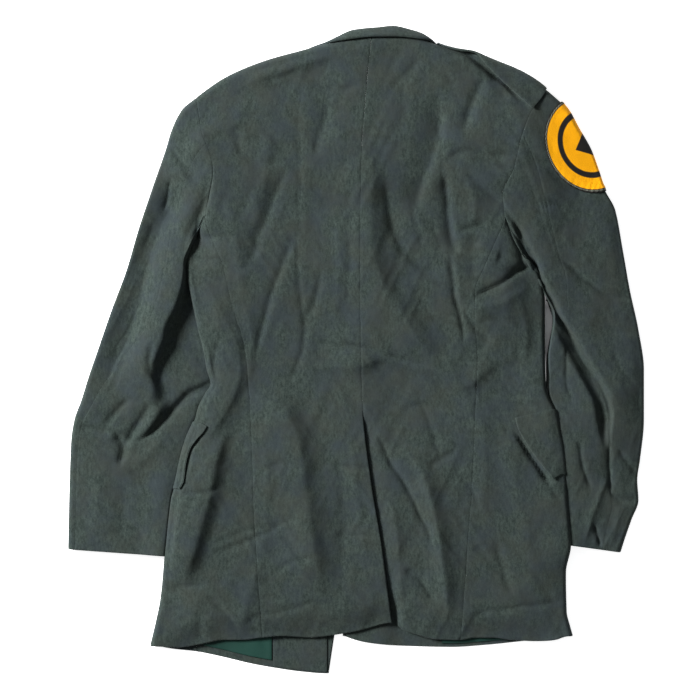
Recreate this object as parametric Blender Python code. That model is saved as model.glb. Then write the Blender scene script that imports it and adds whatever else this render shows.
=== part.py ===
"""A single-breasted service coat, buttoned and laid out face down.

X runs across the coat, Y up towards the collar and Z up off the surface that it lies on.
Sizes and places are in millimetres and become metres when a mesh is made. Every piece of
cloth is a grid, placed on the coat's skin by a short function and thickened inwards.
Left and right are the wearer's, so the left pieces are at minus X.
"""

import math
from collections import namedtuple

import bmesh
import bpy
from mathutils import Matrix, Vector

MM = 0.001

# Cloth
WALL = 2.0  # cloth with its interlining
SEAM = 0.22  # half of the gap between two pieces at a seam
LAY = 0.35  # gap between a piece and what it lies on
THIN_WALL = 1.4  # straps, flaps and the patch
LINING_WALL = 1.0

# Flattened form
SIDE_RADIUS = 7.0  # roll where the back turns under at the side
SHOULDER_RADIUS = 10.0  # roll along the shoulder line
TUCK_RADIUS = 2.7  # roll of the sleeve's inner edge, which lies under the body
SLEEVE_RADIUS = 6.0  # roll of the sleeve's outer edge
CHEST_RAISE = 5.8  # the fronts lie this high on the turned lapels, collar, straps and buttons
CHEST_RAISE_FROM, CHEST_RAISE_TO = 175.0, 225.0
SLEEVE_LIFT = 6.6  # the body's side lies this high on the sleeve's inner edge
TUCK = 6.0  # how far the sleeve's inner edge reaches under the body
CLOSING_HALF_WIDTH = 30.0
CLOSING_FADE = 24.0
CLOSING_LAP = 3.6  # the right front lies this much above the left one
FLAP_RAISE = 2.8  # the fronts lie this high on the pocket flaps

FLAP_RAISE_REACH = 200.0

# Hard pieces
BUTTON_RADIUS, BUTTON_HEIGHT = 12.5, 5.3
CLOSING_X, BUTTON_TOP_Y, BUTTON_PITCH, BUTTON_COUNT = 4.0, 172.0, 76.0, 4
STRAP_BUTTON_RADIUS, STRAP_BUTTON_HEIGHT = 7.5, 3.2
STRAP_BUTTON_PLACES = {"left": (-122.0, 343.0), "right": (162.0, 355.0)}

# Vent
VENT_UNDERLAP = 36.0
VENT_DROP = WALL + 1.8  # how far the underlap lies below the top lap's face
VENT_STEP = 5.0  # the underlap comes up to the top lap's level beyond this distance from its edge

# Rows of the grids
SHOULDER_STEPS = 3
ARMHOLE_STEPS = 5
LEVELS = (0.0, 0.07, 0.15, 0.24, 0.32, 0.4, 0.4855, 0.58, 0.68, 0.79, 0.9, 1.0)
SIDE_FLAT_STEPS = 2
ROLL_STEPS = 4
BACK_COLUMNS = (0.0, 0.1, 0.22, 0.35, 0.48, 0.61, 0.74, 0.87, 1.0)
FRONT_COLUMNS = (0.0, 0.34, 0.67, 1.0)  # from the side to the closing strip
CLOSING_COLUMNS = (82.0, 55.0, 27.0, 0.0)  # back from the front edge
SLEEVE_LEVELS = (0.0, 0.07, 0.15, 0.23, 0.31, 0.39, 0.47, 0.55, 0.63, 0.72, 0.81, 0.9, 1.0)
HINDARM_STEP = 2  # the armhole row where the sleeve's back seam starts
FOREARM_STEP = 3

COLLAR_COLUMNS = 28
COLLAR_ROLL = 2.3  # half of the thickness where the leaf turns over on to the stand
LAPEL_COLUMNS, LAPEL_ROWS = 3, 7
LAPEL_GAP = 1.1
STRAP_COLUMNS = 10
STRAP_LAY = 0.8
FLAP_COLUMNS, FLAP_ROWS = 10, 8
FLAP_LAY = 0.8
HEM_STRIP_COLUMNS, HEM_STRIP_ROWS, HEM_STRIP_TOP = 5, 4, -325.0
PATCH_Y, PATCH_HALF_WIDTH, PATCH_HALF_LENGTH = 263.0, 56.0, 64.0
PATCH_STEPS, PATCH_LEVELS, PATCH_SEGMENTS = 6, 6, 36
PATCH_RAISE = 2.0  # the sleeve's lower face lies this high on the patch
BUTTON_ARC_STEPS, BUTTON_SIDES = 4, 20

Across = namedtuple("Across", "x y")
Down = namedtuple("Down", "y x")
Fold = namedtuple("Fold", "x0 y0 x1 y1 x2 y2 width height")
SleeveRow = namedtuple("SleeveRow", "v seam ridge lit_edge lit_height forearm")
CollarRow = namedtuple(
    "CollarRow", "leaf_x leaf_y leaf_z roll_x roll_y roll_z neck_x neck_y neck_z bulge"
)
Flap = namedtuple("Flap", "top bottom rear_top rear_bottom slant front_end")
Strap = namedtuple("Strap", "x inner outer")
LapelRow = namedtuple("LapelRow", "roll_y width")
Colour = namedtuple("Colour", "red green blue roughness metallic")

CLOTH = Colour(0.052, 0.068, 0.060, 0.92, 0.0)
LINING = Colour(0.014, 0.075, 0.062, 0.55, 0.0)
GOLD_FELT = Colour(0.85, 0.38, 0.01, 0.9, 0.0)
BRASS = Colour(0.62, 0.44, 0.16, 0.32, 1.0)


def smooth_line(rows):
    """A function through (station, value) rows that never overshoots them and is flat past both ends."""
    rows = sorted((row[0], row[1]) for row in rows)
    steps = [(b[1] - a[1]) / (b[0] - a[0]) for a, b in zip(rows, rows[1:])]
    slopes = [steps[0]]
    for before, after in zip(steps, steps[1:]):
        slopes.append(2 * before * after / (before + after) if before * after > 0 else 0.0)
    slopes.append(steps[-1])

    def value(at):
        if at <= rows[0][0]:
            return rows[0][1]
        for (s0, v0), (s1, v1), m0, m1 in zip(rows, rows[1:], slopes, slopes[1:]):
            if at <= s1:
                width = s1 - s0
                t = (at - s0) / width
                rise = v0 + (v1 - v0) * t * t * (3 - 2 * t)
                return rise + width * t * (1 - t) * (m0 * (1 - t) - m1 * t)
        return rows[-1][1]

    return value


def lerp(a, b, t):
    return a + (b - a) * t


def ease(t):
    """0 below 0, 1 above 1, and a soft step between."""
    t = min(max(t, 0.0), 1.0)
    return t * t * (3 - 2 * t)


# Outlines of the flattened coat. TOP is the shoulder and neck line.
TOP = smooth_line([
    Across(-204, 322), Across(-191, 332), Across(-172, 345), Across(-146, 358), Across(-111, 371),
    Across(-67, 383), Across(-38, 391), Across(-10, 398.5), Across(23, 403), Across(55, 402.5),
    Across(80, 398.5), Across(98, 391.5), Across(120, 385),
    Across(148, 379), Across(180, 367), Across(211, 354), Across(232, 341), Across(243, 332),
])
BACK_HEM = smooth_line([
    Across(-264, -380), Across(-230, -382), Across(-198, -377), Across(-170, -372),
    Across(-146, -372), Across(-120, -369), Across(-95, -367), Across(-60, -369),
    Across(-18, -364), Across(8, -359), Across(46, -350), Across(60, -359), Across(81, -366),
    Across(101, -371), Across(134, -372), Across(151, -369), Across(174, -369),
    Across(198, -372), Across(238, -375), Across(257, -376), Across(268, -371), Across(278, -367),
])
FRONT_HEM = smooth_line([
    Across(-264, -380), Across(-235, -384), Across(-206, -387), Across(-180, -392),
    Across(-133, -403), Across(-105, -408), Across(-70, -413), Across(-36, -415.5),
    Across(-34.5, -415), Across(-18, -367), Across(1, -373), Across(24, -377),
    Across(58, -380), Across(124, -381.5), Across(164, -379), Across(223, -373), Across(278, -367),
])
CENTRE = smooth_line([
    Down(400, 20), Down(333, 13), Down(220, 6), Down(104, 5), Down(-1, 6), Down(-80, 9),
    Down(-172, 20), Down(-244, 32), Down(-304, 40), Down(-350, 46),
])
# Armhole above, side seam below, on the back
BACK_SIDE = {
    "left": smooth_line([
        Down(322, -204), Down(294, -200), Down(271, -195), Down(253, -187), Down(227, -182),
        Down(198, -187), Down(171, -192), Down(107, -170), Down(48, -156), Down(6, -143),
        Down(-65, -136), Down(-129, -133), Down(-200, -131), Down(-282, -126), Down(-369, -120),
    ]),
    "right": smooth_line([
        Down(332, 243), Down(303, 223), Down(266, 209), Down(232, 201), Down(198, 187),
        Down(171, 189), Down(132, 175), Down(107, 164), Down(76, 152), Down(38, 151),
        Down(-1, 155), Down(-86, 152), Down(-172, 148), Down(-244, 143), Down(-372, 134),
    ]),
}
# Armhole above, side body's front seam below, on the fronts
FRONT_SIDE = {
    "left": smooth_line([
        Down(322, -204), Down(290, -194), Down(250, -180), Down(215, -174), Down(190, -178),
        Down(168, -188), Down(112, -182), Down(63, -174), Down(-1, -162), Down(-44, -150),
        Down(-77, -160), Down(-116, -175), Down(-167, -186), Down(-218, -193), Down(-387, -206),
    ]),
    "right": smooth_line([
        Down(332, 243), Down(290, 222), Down(250, 204), Down(215, 192), Down(185, 190),
        Down(150, 198), Down(112, 201), Down(63, 202), Down(-1, 202), Down(-45, 203),
        Down(-79, 211), Down(-116, 220), Down(-167, 229), Down(-218, 233), Down(-373, 223),
    ]),
}
BODY_EDGE = {
    "left": smooth_line([
        Down(143, -212), Down(112, -218), Down(92, -216), Down(63, -210), Down(25, -202),
        Down(-3, -195), Down(-26, -191), Down(-44, -186), Down(-56, -193), Down(-74, -202),
        Down(-89, -206), Down(-112, -216), Down(-139, -224), Down(-167, -230), Down(-193, -237),
        Down(-264, -245), Down(-321, -251), Down(-346, -256), Down(-380, -264),
    ]),
    "right": smooth_line([
        Down(102, 232), Down(83, 239), Down(63, 242), Down(-13, 242), Down(-45, 243),
        Down(-61, 247), Down(-79, 256), Down(-103, 261), Down(-129, 266), Down(-158, 269),
        Down(-193, 271), Down(-250, 275), Down(-285, 269), Down(-336, 270), Down(-353, 274),
        Down(-367, 278),
    ]),
}
# Turned lapel edge above, front edge below
FRONT_EDGE = {
    "left": smooth_line([
        Down(388, -64), Down(372, -53), Down(352, -36), Down(300, -13), Down(240, 9), Down(200, 24),
        Down(170, 29), Down(0, 29),
        Down(-110, 25), Down(-220, 4), Down(-320, -20), Down(-368, -28), Down(-415, -35),
    ]),
    "right": smooth_line([
        Down(388, 114), Down(372, 101), Down(352, 82), Down(300, 55), Down(240, 18), Down(205, -10),
        Down(170, -20), Down(0, -21),
        Down(-110, -20), Down(-220, -17), Down(-320, -16), Down(-367, -17),
    ]),
}
SLEEVE_EDGE = {
    "left": smooth_line([
        Down(322, -206), Down(307, -224), Down(281, -237), Down(255, -244.5), Down(204, -262),
        Down(153, -279), Down(102, -294), Down(51, -313), Down(-1, -331), Down(-39, -344),
        Down(-65, -352), Down(-90, -361), Down(-116, -365), Down(-167, -367), Down(-256, -369),
    ]),
    "right": smooth_line([
        Down(332, 246), Down(319, 261), Down(307, 273), Down(281, 287), Down(255, 301),
        Down(230, 310), Down(204, 319), Down(179, 332), Down(127, 342), Down(76, 351),
        Down(25, 362), Down(-26, 369), Down(-90, 369), Down(-141, 364), Down(-167, 360.5),
        Down(-193, 362), Down(-218, 353), Down(-244, 344), Down(-260, 339),
    ]),
}
UNDERARM = {"left": (-212.0, 143.0), "right": (232.0, 102.0)}
SLEEVE_END = {"left": (-256.0, -265.0), "right": (-260.0, -250.0)}  # y at the cuff, outside and inside
# How far outside the body's edge the sleeve's inner edge lies
SLEEVE_CLEAR = {
    "left": smooth_line([Down(143, 0.6), Down(128, 1.2), Down(55, 1.2), Down(5, -TUCK), Down(-265, -TUCK)]),
    "right": smooth_line([
        Down(102, 0.6), Down(90, 2.0), Down(63, 3.5), Down(38, 10), Down(6, 5), Down(-13, 2),
        Down(-40, 0.9), Down(-75, -TUCK), Down(-250, -TUCK),
    ]),
}
LIFT = {
    "left": smooth_line([Down(143, 0), Down(95, SLEEVE_LIFT), Down(-268, SLEEVE_LIFT), Down(-310, 0)]),
    "right": smooth_line([Down(5, 0), Down(-35, SLEEVE_LIFT), Down(-255, SLEEVE_LIFT), Down(-300, 0)]),
}
CROWN = smooth_line([
    Down(392, 0), Down(330, 8), Down(250, 13), Down(170, 12), Down(60, 8), Down(-45, 4),
    Down(-150, 7), Down(-300, 5), Down(-372, 3),
])
# Cross sections of the sleeves. seam is the back seam's place, 0 at the outer edge and 1 at the
# inner edge. The cloth is high from the ridge to the lit edge, and falls from there to the tuck.
SLEEVE_ROWS = {
    "left": [
        SleeveRow(0.0, 0.50, 19, 0.80, 18, 0.5), SleeveRow(0.15, 0.44, 21, 0.82, 18, 0.45),
        SleeveRow(0.3, 0.38, 22, 0.72, 19, 0.4), SleeveRow(0.45, 0.30, 21, 0.55, 18.6, 0.35),
        SleeveRow(0.6, 0.14, 18, 0.50, 15.4, 0.35), SleeveRow(0.72, 0.07, 14, 0.65, 14, 0.35),
        SleeveRow(0.85, 0.06, 12, 0.80, 12, 0.35), SleeveRow(1.0, 0.06, 12, 0.85, 12, 0.35),
    ],
    "right": [
        SleeveRow(0.0, 0.50, 19, 0.80, 18, 0.5), SleeveRow(0.15, 0.72, 20, 0.76, 18, 0.5),
        SleeveRow(0.3, 0.74, 22, 0.78, 15, 0.5), SleeveRow(0.45, 0.60, 23, 0.64, 11, 0.45),
        SleeveRow(0.6, 0.46, 22, 0.50, 10, 0.45), SleeveRow(0.72, 0.40, 17, 0.55, 11, 0.45),
        SleeveRow(0.85, 0.34, 12, 0.70, 11, 0.4), SleeveRow(1.0, 0.30, 12, 0.85, 12, 0.4),
    ],
}
# The largest folds of the back: soft ridges above zero, troughs below it
FOLDS = [
    Fold(-78, -42, 10, -22, 78, -26, 12, -4),  # across the waist
    Fold(78, -26, 140, -46, 220, -8, 12, -4),
    Fold(14, 115, 32, 50, 88, 6, 15, 5),  # from the centre down to the right waist
    Fold(97, 300, 100, 250, 62, 175, 12, -5),
    Fold(-72, 236, -72, 90, -68, -6, 10, -3),
    Fold(-110, 136, -122, 60, -136, 0, 12, -3),
    Fold(-142, -20, -160, -80, -184, -120, 9, -6),  # behind the left pocket
    Fold(-172, -150, -195, -222, -213, -295, 12, -4),
    Fold(30, -110, 76, -173, 98, -250, 10, 5),  # beside the vent
    Fold(112, -190, 108, -300, 104, -370, 14, -4),
    Fold(-72, -90, -50, -200, -40, -290, 16, -4),
    Fold(162, 74, 198, 95, 228, 108, 6, -5),  # from the right underarm
]
# The collar from its left front end, round the back of the neck, to its right front end
COLLAR_ROWS = [
    CollarRow(-92, 337, 0.0, -36, 349, 0.0, -37, 352, 7.4, 0),
    CollarRow(-95, 353, 0.0, -39, 362, 0.0, -45.5, 364, 7.4, 0),
    CollarRow(-82, 372, 0.0, -40, 377, 0.0, -54, 377, 8.0, 0),
    CollarRow(-62, 386, 4.0, -38, 388, 0.5, -54, 385, 12.5, 1),
    CollarRow(-44, 391.5, 14, -24, 393, 0.5, -47, 388, 13.2, 2),
    CollarRow(-31, 394, 25, -8, 401, 1.0, -28, 393.5, 13.2, 4),
    CollarRow(-8, 397, 29, 7, 410, 2.0, -6, 399, 13.2, 6),
    CollarRow(24, 400, 30, 26, 412, 3.0, 24, 402, 13.2, 6),
    CollarRow(50, 400, 30, 46, 415.614, 3.0, 50, 401.7, 13.2, 6),
    CollarRow(79, 398, 29, 66, 406.5, 2.0, 78, 398, 13.2, 6),
    CollarRow(96, 395.5, 23, 79, 400, 1.0, 93, 392.5, 13.2, 4),
    CollarRow(105, 391.5, 4.5, 85, 391, 0.5, 101, 388, 12.5, 1),
    CollarRow(126, 374, 0.0, 88, 378, 0.0, 103, 377, 8.0, 0),
    CollarRow(141, 353, 0.0, 87, 362, 0.0, 94, 364, 7.4, 0),
    CollarRow(138, 337, 0.0, 84, 349, 0.0, 85, 352, 7.4, 0),
]
# Pocket flaps: rear_top and rear_bottom are how far the rear edge lies in from the side's roll on
# the back, and front_end how far the front edge lies beyond the last of the front's lines
FLAPS = {
    "left": Flap(-92, -178, 12, 2, 3, 14),
    "right": Flap(-76, -160, 47, 9, 13, 8),
}
# Shoulder straps, measured over the shoulder from its seam: inner is towards the back
STRAPS = {
    "left": [Strap(-104, -18, -44), Strap(-112, -14, -52), Strap(-150, -14, -56), Strap(-205, -14, -60)],
    "right": [
        Strap(103, 5, -3), Strap(110, 8, -7), Strap(133, 9, -16), Strap(150, 7, -32),
        Strap(164, 13, -40), Strap(184, 23, -36), Strap(201, 31, -28), Strap(222, 42, -14),
    ],
}
LAPELS = {
    "left": [LapelRow(203, 6), LapelRow(225, 26), LapelRow(258, 47), LapelRow(300, 64), LapelRow(342, 74)],
    "right": [LapelRow(243, 14), LapelRow(262, 34), LapelRow(285, 50), LapelRow(310, 63), LapelRow(342, 74)],
}
LAPEL_SLANT = 0.36
# Linings inside the fronts' hems: name, side, stuff, from x, to x, gap to the hem's edge
HEM_STRIPS = [
    ("lining_left", "left", "lining", -196, -108, 9),
    ("facing_left", "left", "cloth", -106.5, -37, 1.5),
    ("lining_right", "right", "lining", 110, 200, 4.5),
]
OUT = {"left": -1.0, "right": 1.0}


def new_collection(name):
    collection = bpy.data.collections.new(name)
    bpy.context.scene.collection.children.link(collection)
    return collection


def new_material(name, colour):
    material = bpy.data.materials.new(name)
    material.use_nodes = True
    shader = material.node_tree.nodes["Principled BSDF"]
    shader.inputs["Base Color"].default_value = (colour.red, colour.green, colour.blue, 1)
    shader.inputs["Roughness"].default_value = colour.roughness
    shader.inputs["Metallic"].default_value = colour.metallic
    material.diffuse_color = (colour.red, colour.green, colour.blue, 1)
    return material


def sheet(collection, name, material, columns, rows, place, wall=WALL):
    """A piece of cloth: place(column, row) gives its outer face and the way out of it."""
    bm = bmesh.new()
    bmesh.ops.create_grid(bm, x_segments=columns, y_segments=rows, size=1)
    bmesh.ops.triangulate(bm, faces=bm.faces, quad_method="FIXED")
    inward = {}
    for vert in bm.verts:
        column = round((vert.co.x + 1) / 2 * columns)
        row = round((1 - vert.co.y) / 2 * rows)
        point, out = place(column, row)
        vert.co = point * MM
        inward[vert.index] = -wall * MM * out.normalized()
    bm.verts.index_update()
    outer = list(bm.verts)
    inner = bmesh.ops.extrude_face_region(bm, geom=list(bm.faces))["geom"]
    copies = [vert for vert in inner if isinstance(vert, bmesh.types.BMVert)]
    nearest = {tuple(round(c, 9) for c in vert.co): vert.index for vert in outer}
    for vert in copies:
        vert.co += inward[nearest[tuple(round(c, 9) for c in vert.co)]]
    bmesh.ops.remove_doubles(bm, verts=bm.verts, dist=0.01 * MM)
    bmesh.ops.recalc_face_normals(bm, faces=bm.faces)
    mesh = bpy.data.meshes.new(name)
    bm.to_mesh(mesh)
    bm.free()
    mesh.materials.append(material)
    mesh.shade_smooth()
    mesh.set_sharp_from_angle(angle=math.radians(50))
    piece = bpy.data.objects.new(name, mesh)
    collection.objects.link(piece)
    return piece


def fold_height(x, y):
    """The large folds' share of the back's height."""
    total = 0.0
    for fold in FOLDS:
        near, along = 1e9, 0.0
        corners = ((fold.x0, fold.y0), (fold.x1, fold.y1), (fold.x2, fold.y2))
        for half, ((ax, ay), (bx, by)) in enumerate(zip(corners, corners[1:])):
            run = (bx - ax) ** 2 + (by - ay) ** 2
            t = min(max(((x - ax) * (bx - ax) + (y - ay) * (by - ay)) / run, 0), 1)
            gap = math.hypot(x - lerp(ax, bx, t), y - lerp(ay, by, t))
            if gap < near:
                near, along = gap, (half + t) / 2
        total += fold.height * math.exp(-((near / fold.width) ** 2)) * ease(4 * min(along, 1 - along) + 0.2)
    return total


def edge_distance(side, x, y):
    """How far a point lies inside the body's edge. Above the underarm the edge runs out along the sleeve."""
    arm_x, arm_y = UNDERARM[side]
    edge = BODY_EDGE[side](y) + OUT[side] * max(y - arm_y, 0) * 2
    return (edge - x) * OUT[side]


def side_lift(x, y):
    """The height of the body's lowest layer where it lies on a sleeve."""
    return sum(LIFT[s](y) * (1 - ease((edge_distance(s, x, y) - 12) / 40)) for s in OUT)


def chest_raise(y):
    return CHEST_RAISE * ease((y - CHEST_RAISE_FROM) / (CHEST_RAISE_TO - CHEST_RAISE_FROM))


def upper_height(x, y):
    """The outer face of the back, and of the part of a side body that turns over on to it."""
    inside = min(edge_distance("left", x, y), edge_distance("right", x, y))
    window = ease((inside - SIDE_RADIUS) / 45)
    shoulder = 2 * (SHOULDER_RADIUS - SIDE_RADIUS) * ease(1 - (TOP(x) - y - SHOULDER_RADIUS) / 70)
    raised = CROWN(y) * ease((TOP(x) - y - SHOULDER_RADIUS) / 60) + fold_height(x, y)
    return chest_raise(y) + side_lift(x, y) + 2 * SIDE_RADIUS + shoulder + window * raised


def closing_raise(side, x, y):
    """The fronts' height on the buttons, and the right front's on the left one."""
    down = ease((y + 160) / 70)
    strip = ease((CLOSING_HALF_WIDTH + CLOSING_FADE - abs(x - CLOSING_X)) / CLOSING_FADE)
    lap = ease((52 - (x - CLOSING_X)) / CLOSING_FADE) * ease((275 - y) / 30) if side == "right" else 0.0
    return max(CHEST_RAISE * down * strip, chest_raise(y)) + CLOSING_LAP * lap


def flap_raise(side, x, y):
    """The fronts' height on the pocket flaps."""
    flap = FLAPS[side]
    along = ease((flap.top + 80 - y) / 24) * ease((y - flap.bottom + 80) / 24)
    return FLAP_RAISE * along * ease((FLAP_RAISE_REACH - edge_distance(side, x, y)) / 30)


def lower_height(side, x, y):
    """The outer face of a front, towards the surface that the coat lies on."""
    return max(closing_raise(side, x, y), flap_raise(side, x, y)) + side_lift(x, y)


def shoulder_roll(x, angle):
    """A point on the roll along the shoulder line: angle is 90 on the back, 0 at the seam, -90 in front."""
    turn = math.radians(angle)
    slope = (TOP(x + 4) - TOP(x - 4)) / 8
    out = Vector((-slope, 1, 0)).normalized()
    centre = CHEST_RAISE + SHOULDER_RADIUS
    flat = TOP(x) - SHOULDER_RADIUS * (1 - math.cos(turn))
    point = Vector((x, flat, centre + SHOULDER_RADIUS * math.sin(turn)))
    return point, out * math.cos(turn) + Vector((0, 0, math.sin(turn)))


def side_roll(side, y, angle, crotch=0.0):
    """A point on the roll down a side. crotch is 1 at the underarm, where the roll turns into the sleeve."""
    turn = math.radians(angle)
    out = Vector((OUT[side], 0, 0)).lerp(Vector((OUT[side] * 0.5, -0.85, 0)), crotch)
    x = BODY_EDGE[side](y)
    back = SIDE_RADIUS * (1 - math.cos(turn))
    base = chest_raise(y) + LIFT[side](y)
    height = base + SIDE_RADIUS * (1 + math.sin(turn))
    point = Vector((x - OUT[side] * back, y + 0.85 * back * crotch, height))
    return point, out * math.cos(turn) + Vector((0, 0, math.sin(turn)))


def settle(x_of_y, y_of_x, y):
    """The point where a panel's upright line meets its cross line."""
    for _ in range(5):
        x = x_of_y(y)
        y = y_of_x(x)
    return x, y


def panel_point(x_of_y, row, floor_y, hem, height, facing):
    """A point of a back or a front: facing is 1 for the back and -1 for a front."""
    if row <= SHOULDER_STEPS:
        angle = facing * max(90 * row / SHOULDER_STEPS, math.degrees(SEAM / SHOULDER_RADIUS))
        drop = SHOULDER_RADIUS * (1 - math.cos(math.radians(angle)))
        x, y = settle(x_of_y, lambda x: TOP(x) - drop, TOP(0) - drop)
        return shoulder_roll(x, angle)
    if row <= SHOULDER_STEPS + ARMHOLE_STEPS:
        t = (row - SHOULDER_STEPS) / ARMHOLE_STEPS
        x, y = settle(x_of_y, lambda x: lerp(TOP(x) - SHOULDER_RADIUS, floor_y, t), floor_y)
    else:
        t = LEVELS[row - SHOULDER_STEPS - ARMHOLE_STEPS]
        x, y = settle(x_of_y, lambda x: lerp(floor_y, hem(x), t), lerp(floor_y, -370, t))
    return Vector((x, y, height(x, y))), Vector((0, 0, facing))


PANEL_ROWS = SHOULDER_STEPS + ARMHOLE_STEPS + len(LEVELS) - 1
FRONT_LAST = len(FRONT_COLUMNS) + len(CLOSING_COLUMNS) - 2
BACK_FLOOR_Y = 171.0
FRONT_FLOOR_Y = {"left": 168.0, "right": 150.0}


def back_point(side, column, row):
    """A point of the back's half. The right half carries the underlap, beside its first column."""
    share = BACK_COLUMNS[column]
    vent_row = SHOULDER_STEPS + ARMHOLE_STEPS + LEVELS.index(0.4855)

    def inner_x(y):
        under = VENT_UNDERLAP if side == "right" and row > vent_row else 0.0
        return CENTRE(y) + OUT[side] * SEAM - under

    def x_of_y(y):
        outer = BACK_SIDE[side](y) - OUT[side] * SEAM
        if side == "right" and row >= vent_row and column > 0:
            rest = (share - BACK_COLUMNS[1]) / (1 - BACK_COLUMNS[1])
            return lerp(CENTRE(y) + VENT_STEP, outer, rest)
        return lerp(inner_x(y), outer, share)

    def height(x, y):
        laps = side == "right" and row >= vent_row and x < CENTRE(y) + VENT_STEP + 1
        return upper_height(x, y) - (VENT_DROP if laps else 0.0)

    return panel_point(x_of_y, row, BACK_FLOOR_Y, BACK_HEM, height, 1)


def front_point(side, column, row):
    """A point of a front: column 0 is at the side, the last one at the front edge."""
    def x_of_y(y):
        outer = FRONT_SIDE[side](y) - OUT[side] * SEAM
        beside = FRONT_EDGE[side](y) + OUT[side] * CLOSING_COLUMNS[max(column - len(FRONT_COLUMNS) + 1, 0)]
        if column < len(FRONT_COLUMNS):
            return lerp(outer, beside, FRONT_COLUMNS[column])
        return beside

    return panel_point(
        x_of_y, row, FRONT_FLOOR_Y[side], FRONT_HEM, lambda x, y: lower_height(side, x, y), -1
    )


SIDE_COLUMNS = 2 * SIDE_FLAT_STEPS + ROLL_STEPS


def side_point(side, column, row, gap=SEAM):
    """A point of a side body: column 0 is at the back's seam, the last one at the front's."""
    t = LEVELS[row]
    crotch = 1.0 if row == 0 else 0.0
    if SIDE_FLAT_STEPS <= column <= SIDE_FLAT_STEPS + ROLL_STEPS:
        y = lerp(UNDERARM[side][1], BACK_HEM(BODY_EDGE[side](-400)), t)
        return side_roll(side, y, 90 - 180 * (column - SIDE_FLAT_STEPS) / ROLL_STEPS, crotch)
    on_back = column < SIDE_FLAT_STEPS
    seam = (BACK_SIDE if on_back else FRONT_SIDE)[side]
    top_y = BACK_FLOOR_Y if on_back else FRONT_FLOOR_Y[side]
    hem = BACK_HEM if on_back else FRONT_HEM
    share = column / SIDE_FLAT_STEPS if on_back else (SIDE_COLUMNS - column) / SIDE_FLAT_STEPS
    roll_top = UNDERARM[side][1] + 0.85 * SIDE_RADIUS

    def x_of_y(y):
        start = seam(y) + OUT[side] * gap
        return lerp(start, BODY_EDGE[side](y) - OUT[side] * SIDE_RADIUS, share)

    def y_of_x(x):
        return lerp(lerp(top_y, roll_top, share), hem(x), t)

    x, y = settle(x_of_y, y_of_x, lerp(top_y, -370, t))
    if on_back:
        return Vector((x, y, upper_height(x, y))), Vector((0, 0, 1))
    return Vector((x, y, lower_height(side, x, y))), Vector((0, 0, -1))


def armhole_ring(side):
    """The armhole's points: down the back, round under the arm and up the front."""
    last_back, last_front = len(BACK_COLUMNS) - 1, 0
    steps = SHOULDER_STEPS + ARMHOLE_STEPS
    ring = [back_point(side, last_back, row) for row in range(steps)]
    ring += [side_point(side, column, 0) for column in range(SIDE_COLUMNS + 1)]
    ring += [front_point(side, last_front, row) for row in reversed(range(steps))]
    return ring


def patch_raise(side, share, v):
    """How high a sleeve's lower face lies, share of the way in from its outer edge."""
    if side == "left":
        return 0.0
    return PATCH_RAISE * (1 - ease((v - 0.23) / 0.08)) * ease(1.6 * (1 - share))


def sleeve_height(side, share, v):
    """The upper face of a sleeve, share of the way from its outer edge to its inner one."""
    rows = SLEEVE_ROWS[side]
    ridge = smooth_line([(r.v, r.ridge) for r in rows])(v)
    seam = smooth_line([(r.v, r.seam) for r in rows])(v)
    lit_edge = smooth_line([(r.v, r.lit_edge) for r in rows])(v)
    lit_height = smooth_line([(r.v, r.lit_height) for r in rows])(v)
    low = patch_raise(side, 0.0, v)
    across = smooth_line([
        (0.0, low + 2 * SLEEVE_RADIUS), (max(0.5 * seam, 0.04), lerp(low + 2 * SLEEVE_RADIUS, ridge, 0.7)),
        (max(seam, 0.08), ridge), (max(lit_edge, seam + 0.03), lit_height), (1.0, 2 * TUCK_RADIUS),
    ])
    return across(share)


def sleeve_skin(side, across, v):
    """A point of the flattened sleeve. across runs 0 to 1 from the outer to the inner edge on the
    upper face, and 0 to -1 on the lower one, as a share of the flat width between the rolls."""
    shoulder_y = 322.0 if side == "left" else 332.0
    outer_end, inner_end = SLEEVE_END[side]
    outer_y = lerp(shoulder_y, outer_end, v)
    inner_y = lerp(UNDERARM[side][1], inner_end, v)
    outer = Vector((SLEEVE_EDGE[side](outer_y), outer_y, 0))
    inner = Vector((BODY_EDGE[side](inner_y) + OUT[side] * SLEEVE_CLEAR[side](inner_y), inner_y, 0))
    chord = (inner - outer).normalized()
    flat_start = outer + chord * SLEEVE_RADIUS
    flat_end = inner - chord * TUCK_RADIUS
    share = abs(across)
    point = flat_start.lerp(flat_end, share)
    upward = across >= 0
    point.z = sleeve_height(side, share, v) if upward else patch_raise(side, share, v)
    return point, Vector((0, 0, 1 if upward else -1))


def sleeve_roll(side, angle, v, inner):
    """A point on the roll at a sleeve's outer or inner edge."""
    turn = math.radians(angle)
    start, _ = sleeve_skin(side, 1.0 if inner else 0.0, v)
    other, _ = sleeve_skin(side, 0.0 if inner else 1.0, v)
    out = Vector((start.x - other.x, start.y - other.y, 0)).normalized()
    radius = TUCK_RADIUS if inner else SLEEVE_RADIUS
    start.z = radius + patch_raise(side, 1.0 if inner else 0.0, v)
    point = start + out * radius * math.cos(turn) + Vector((0, 0, radius * math.sin(turn)))
    return point, out * math.cos(turn) + Vector((0, 0, math.sin(turn)))


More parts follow.
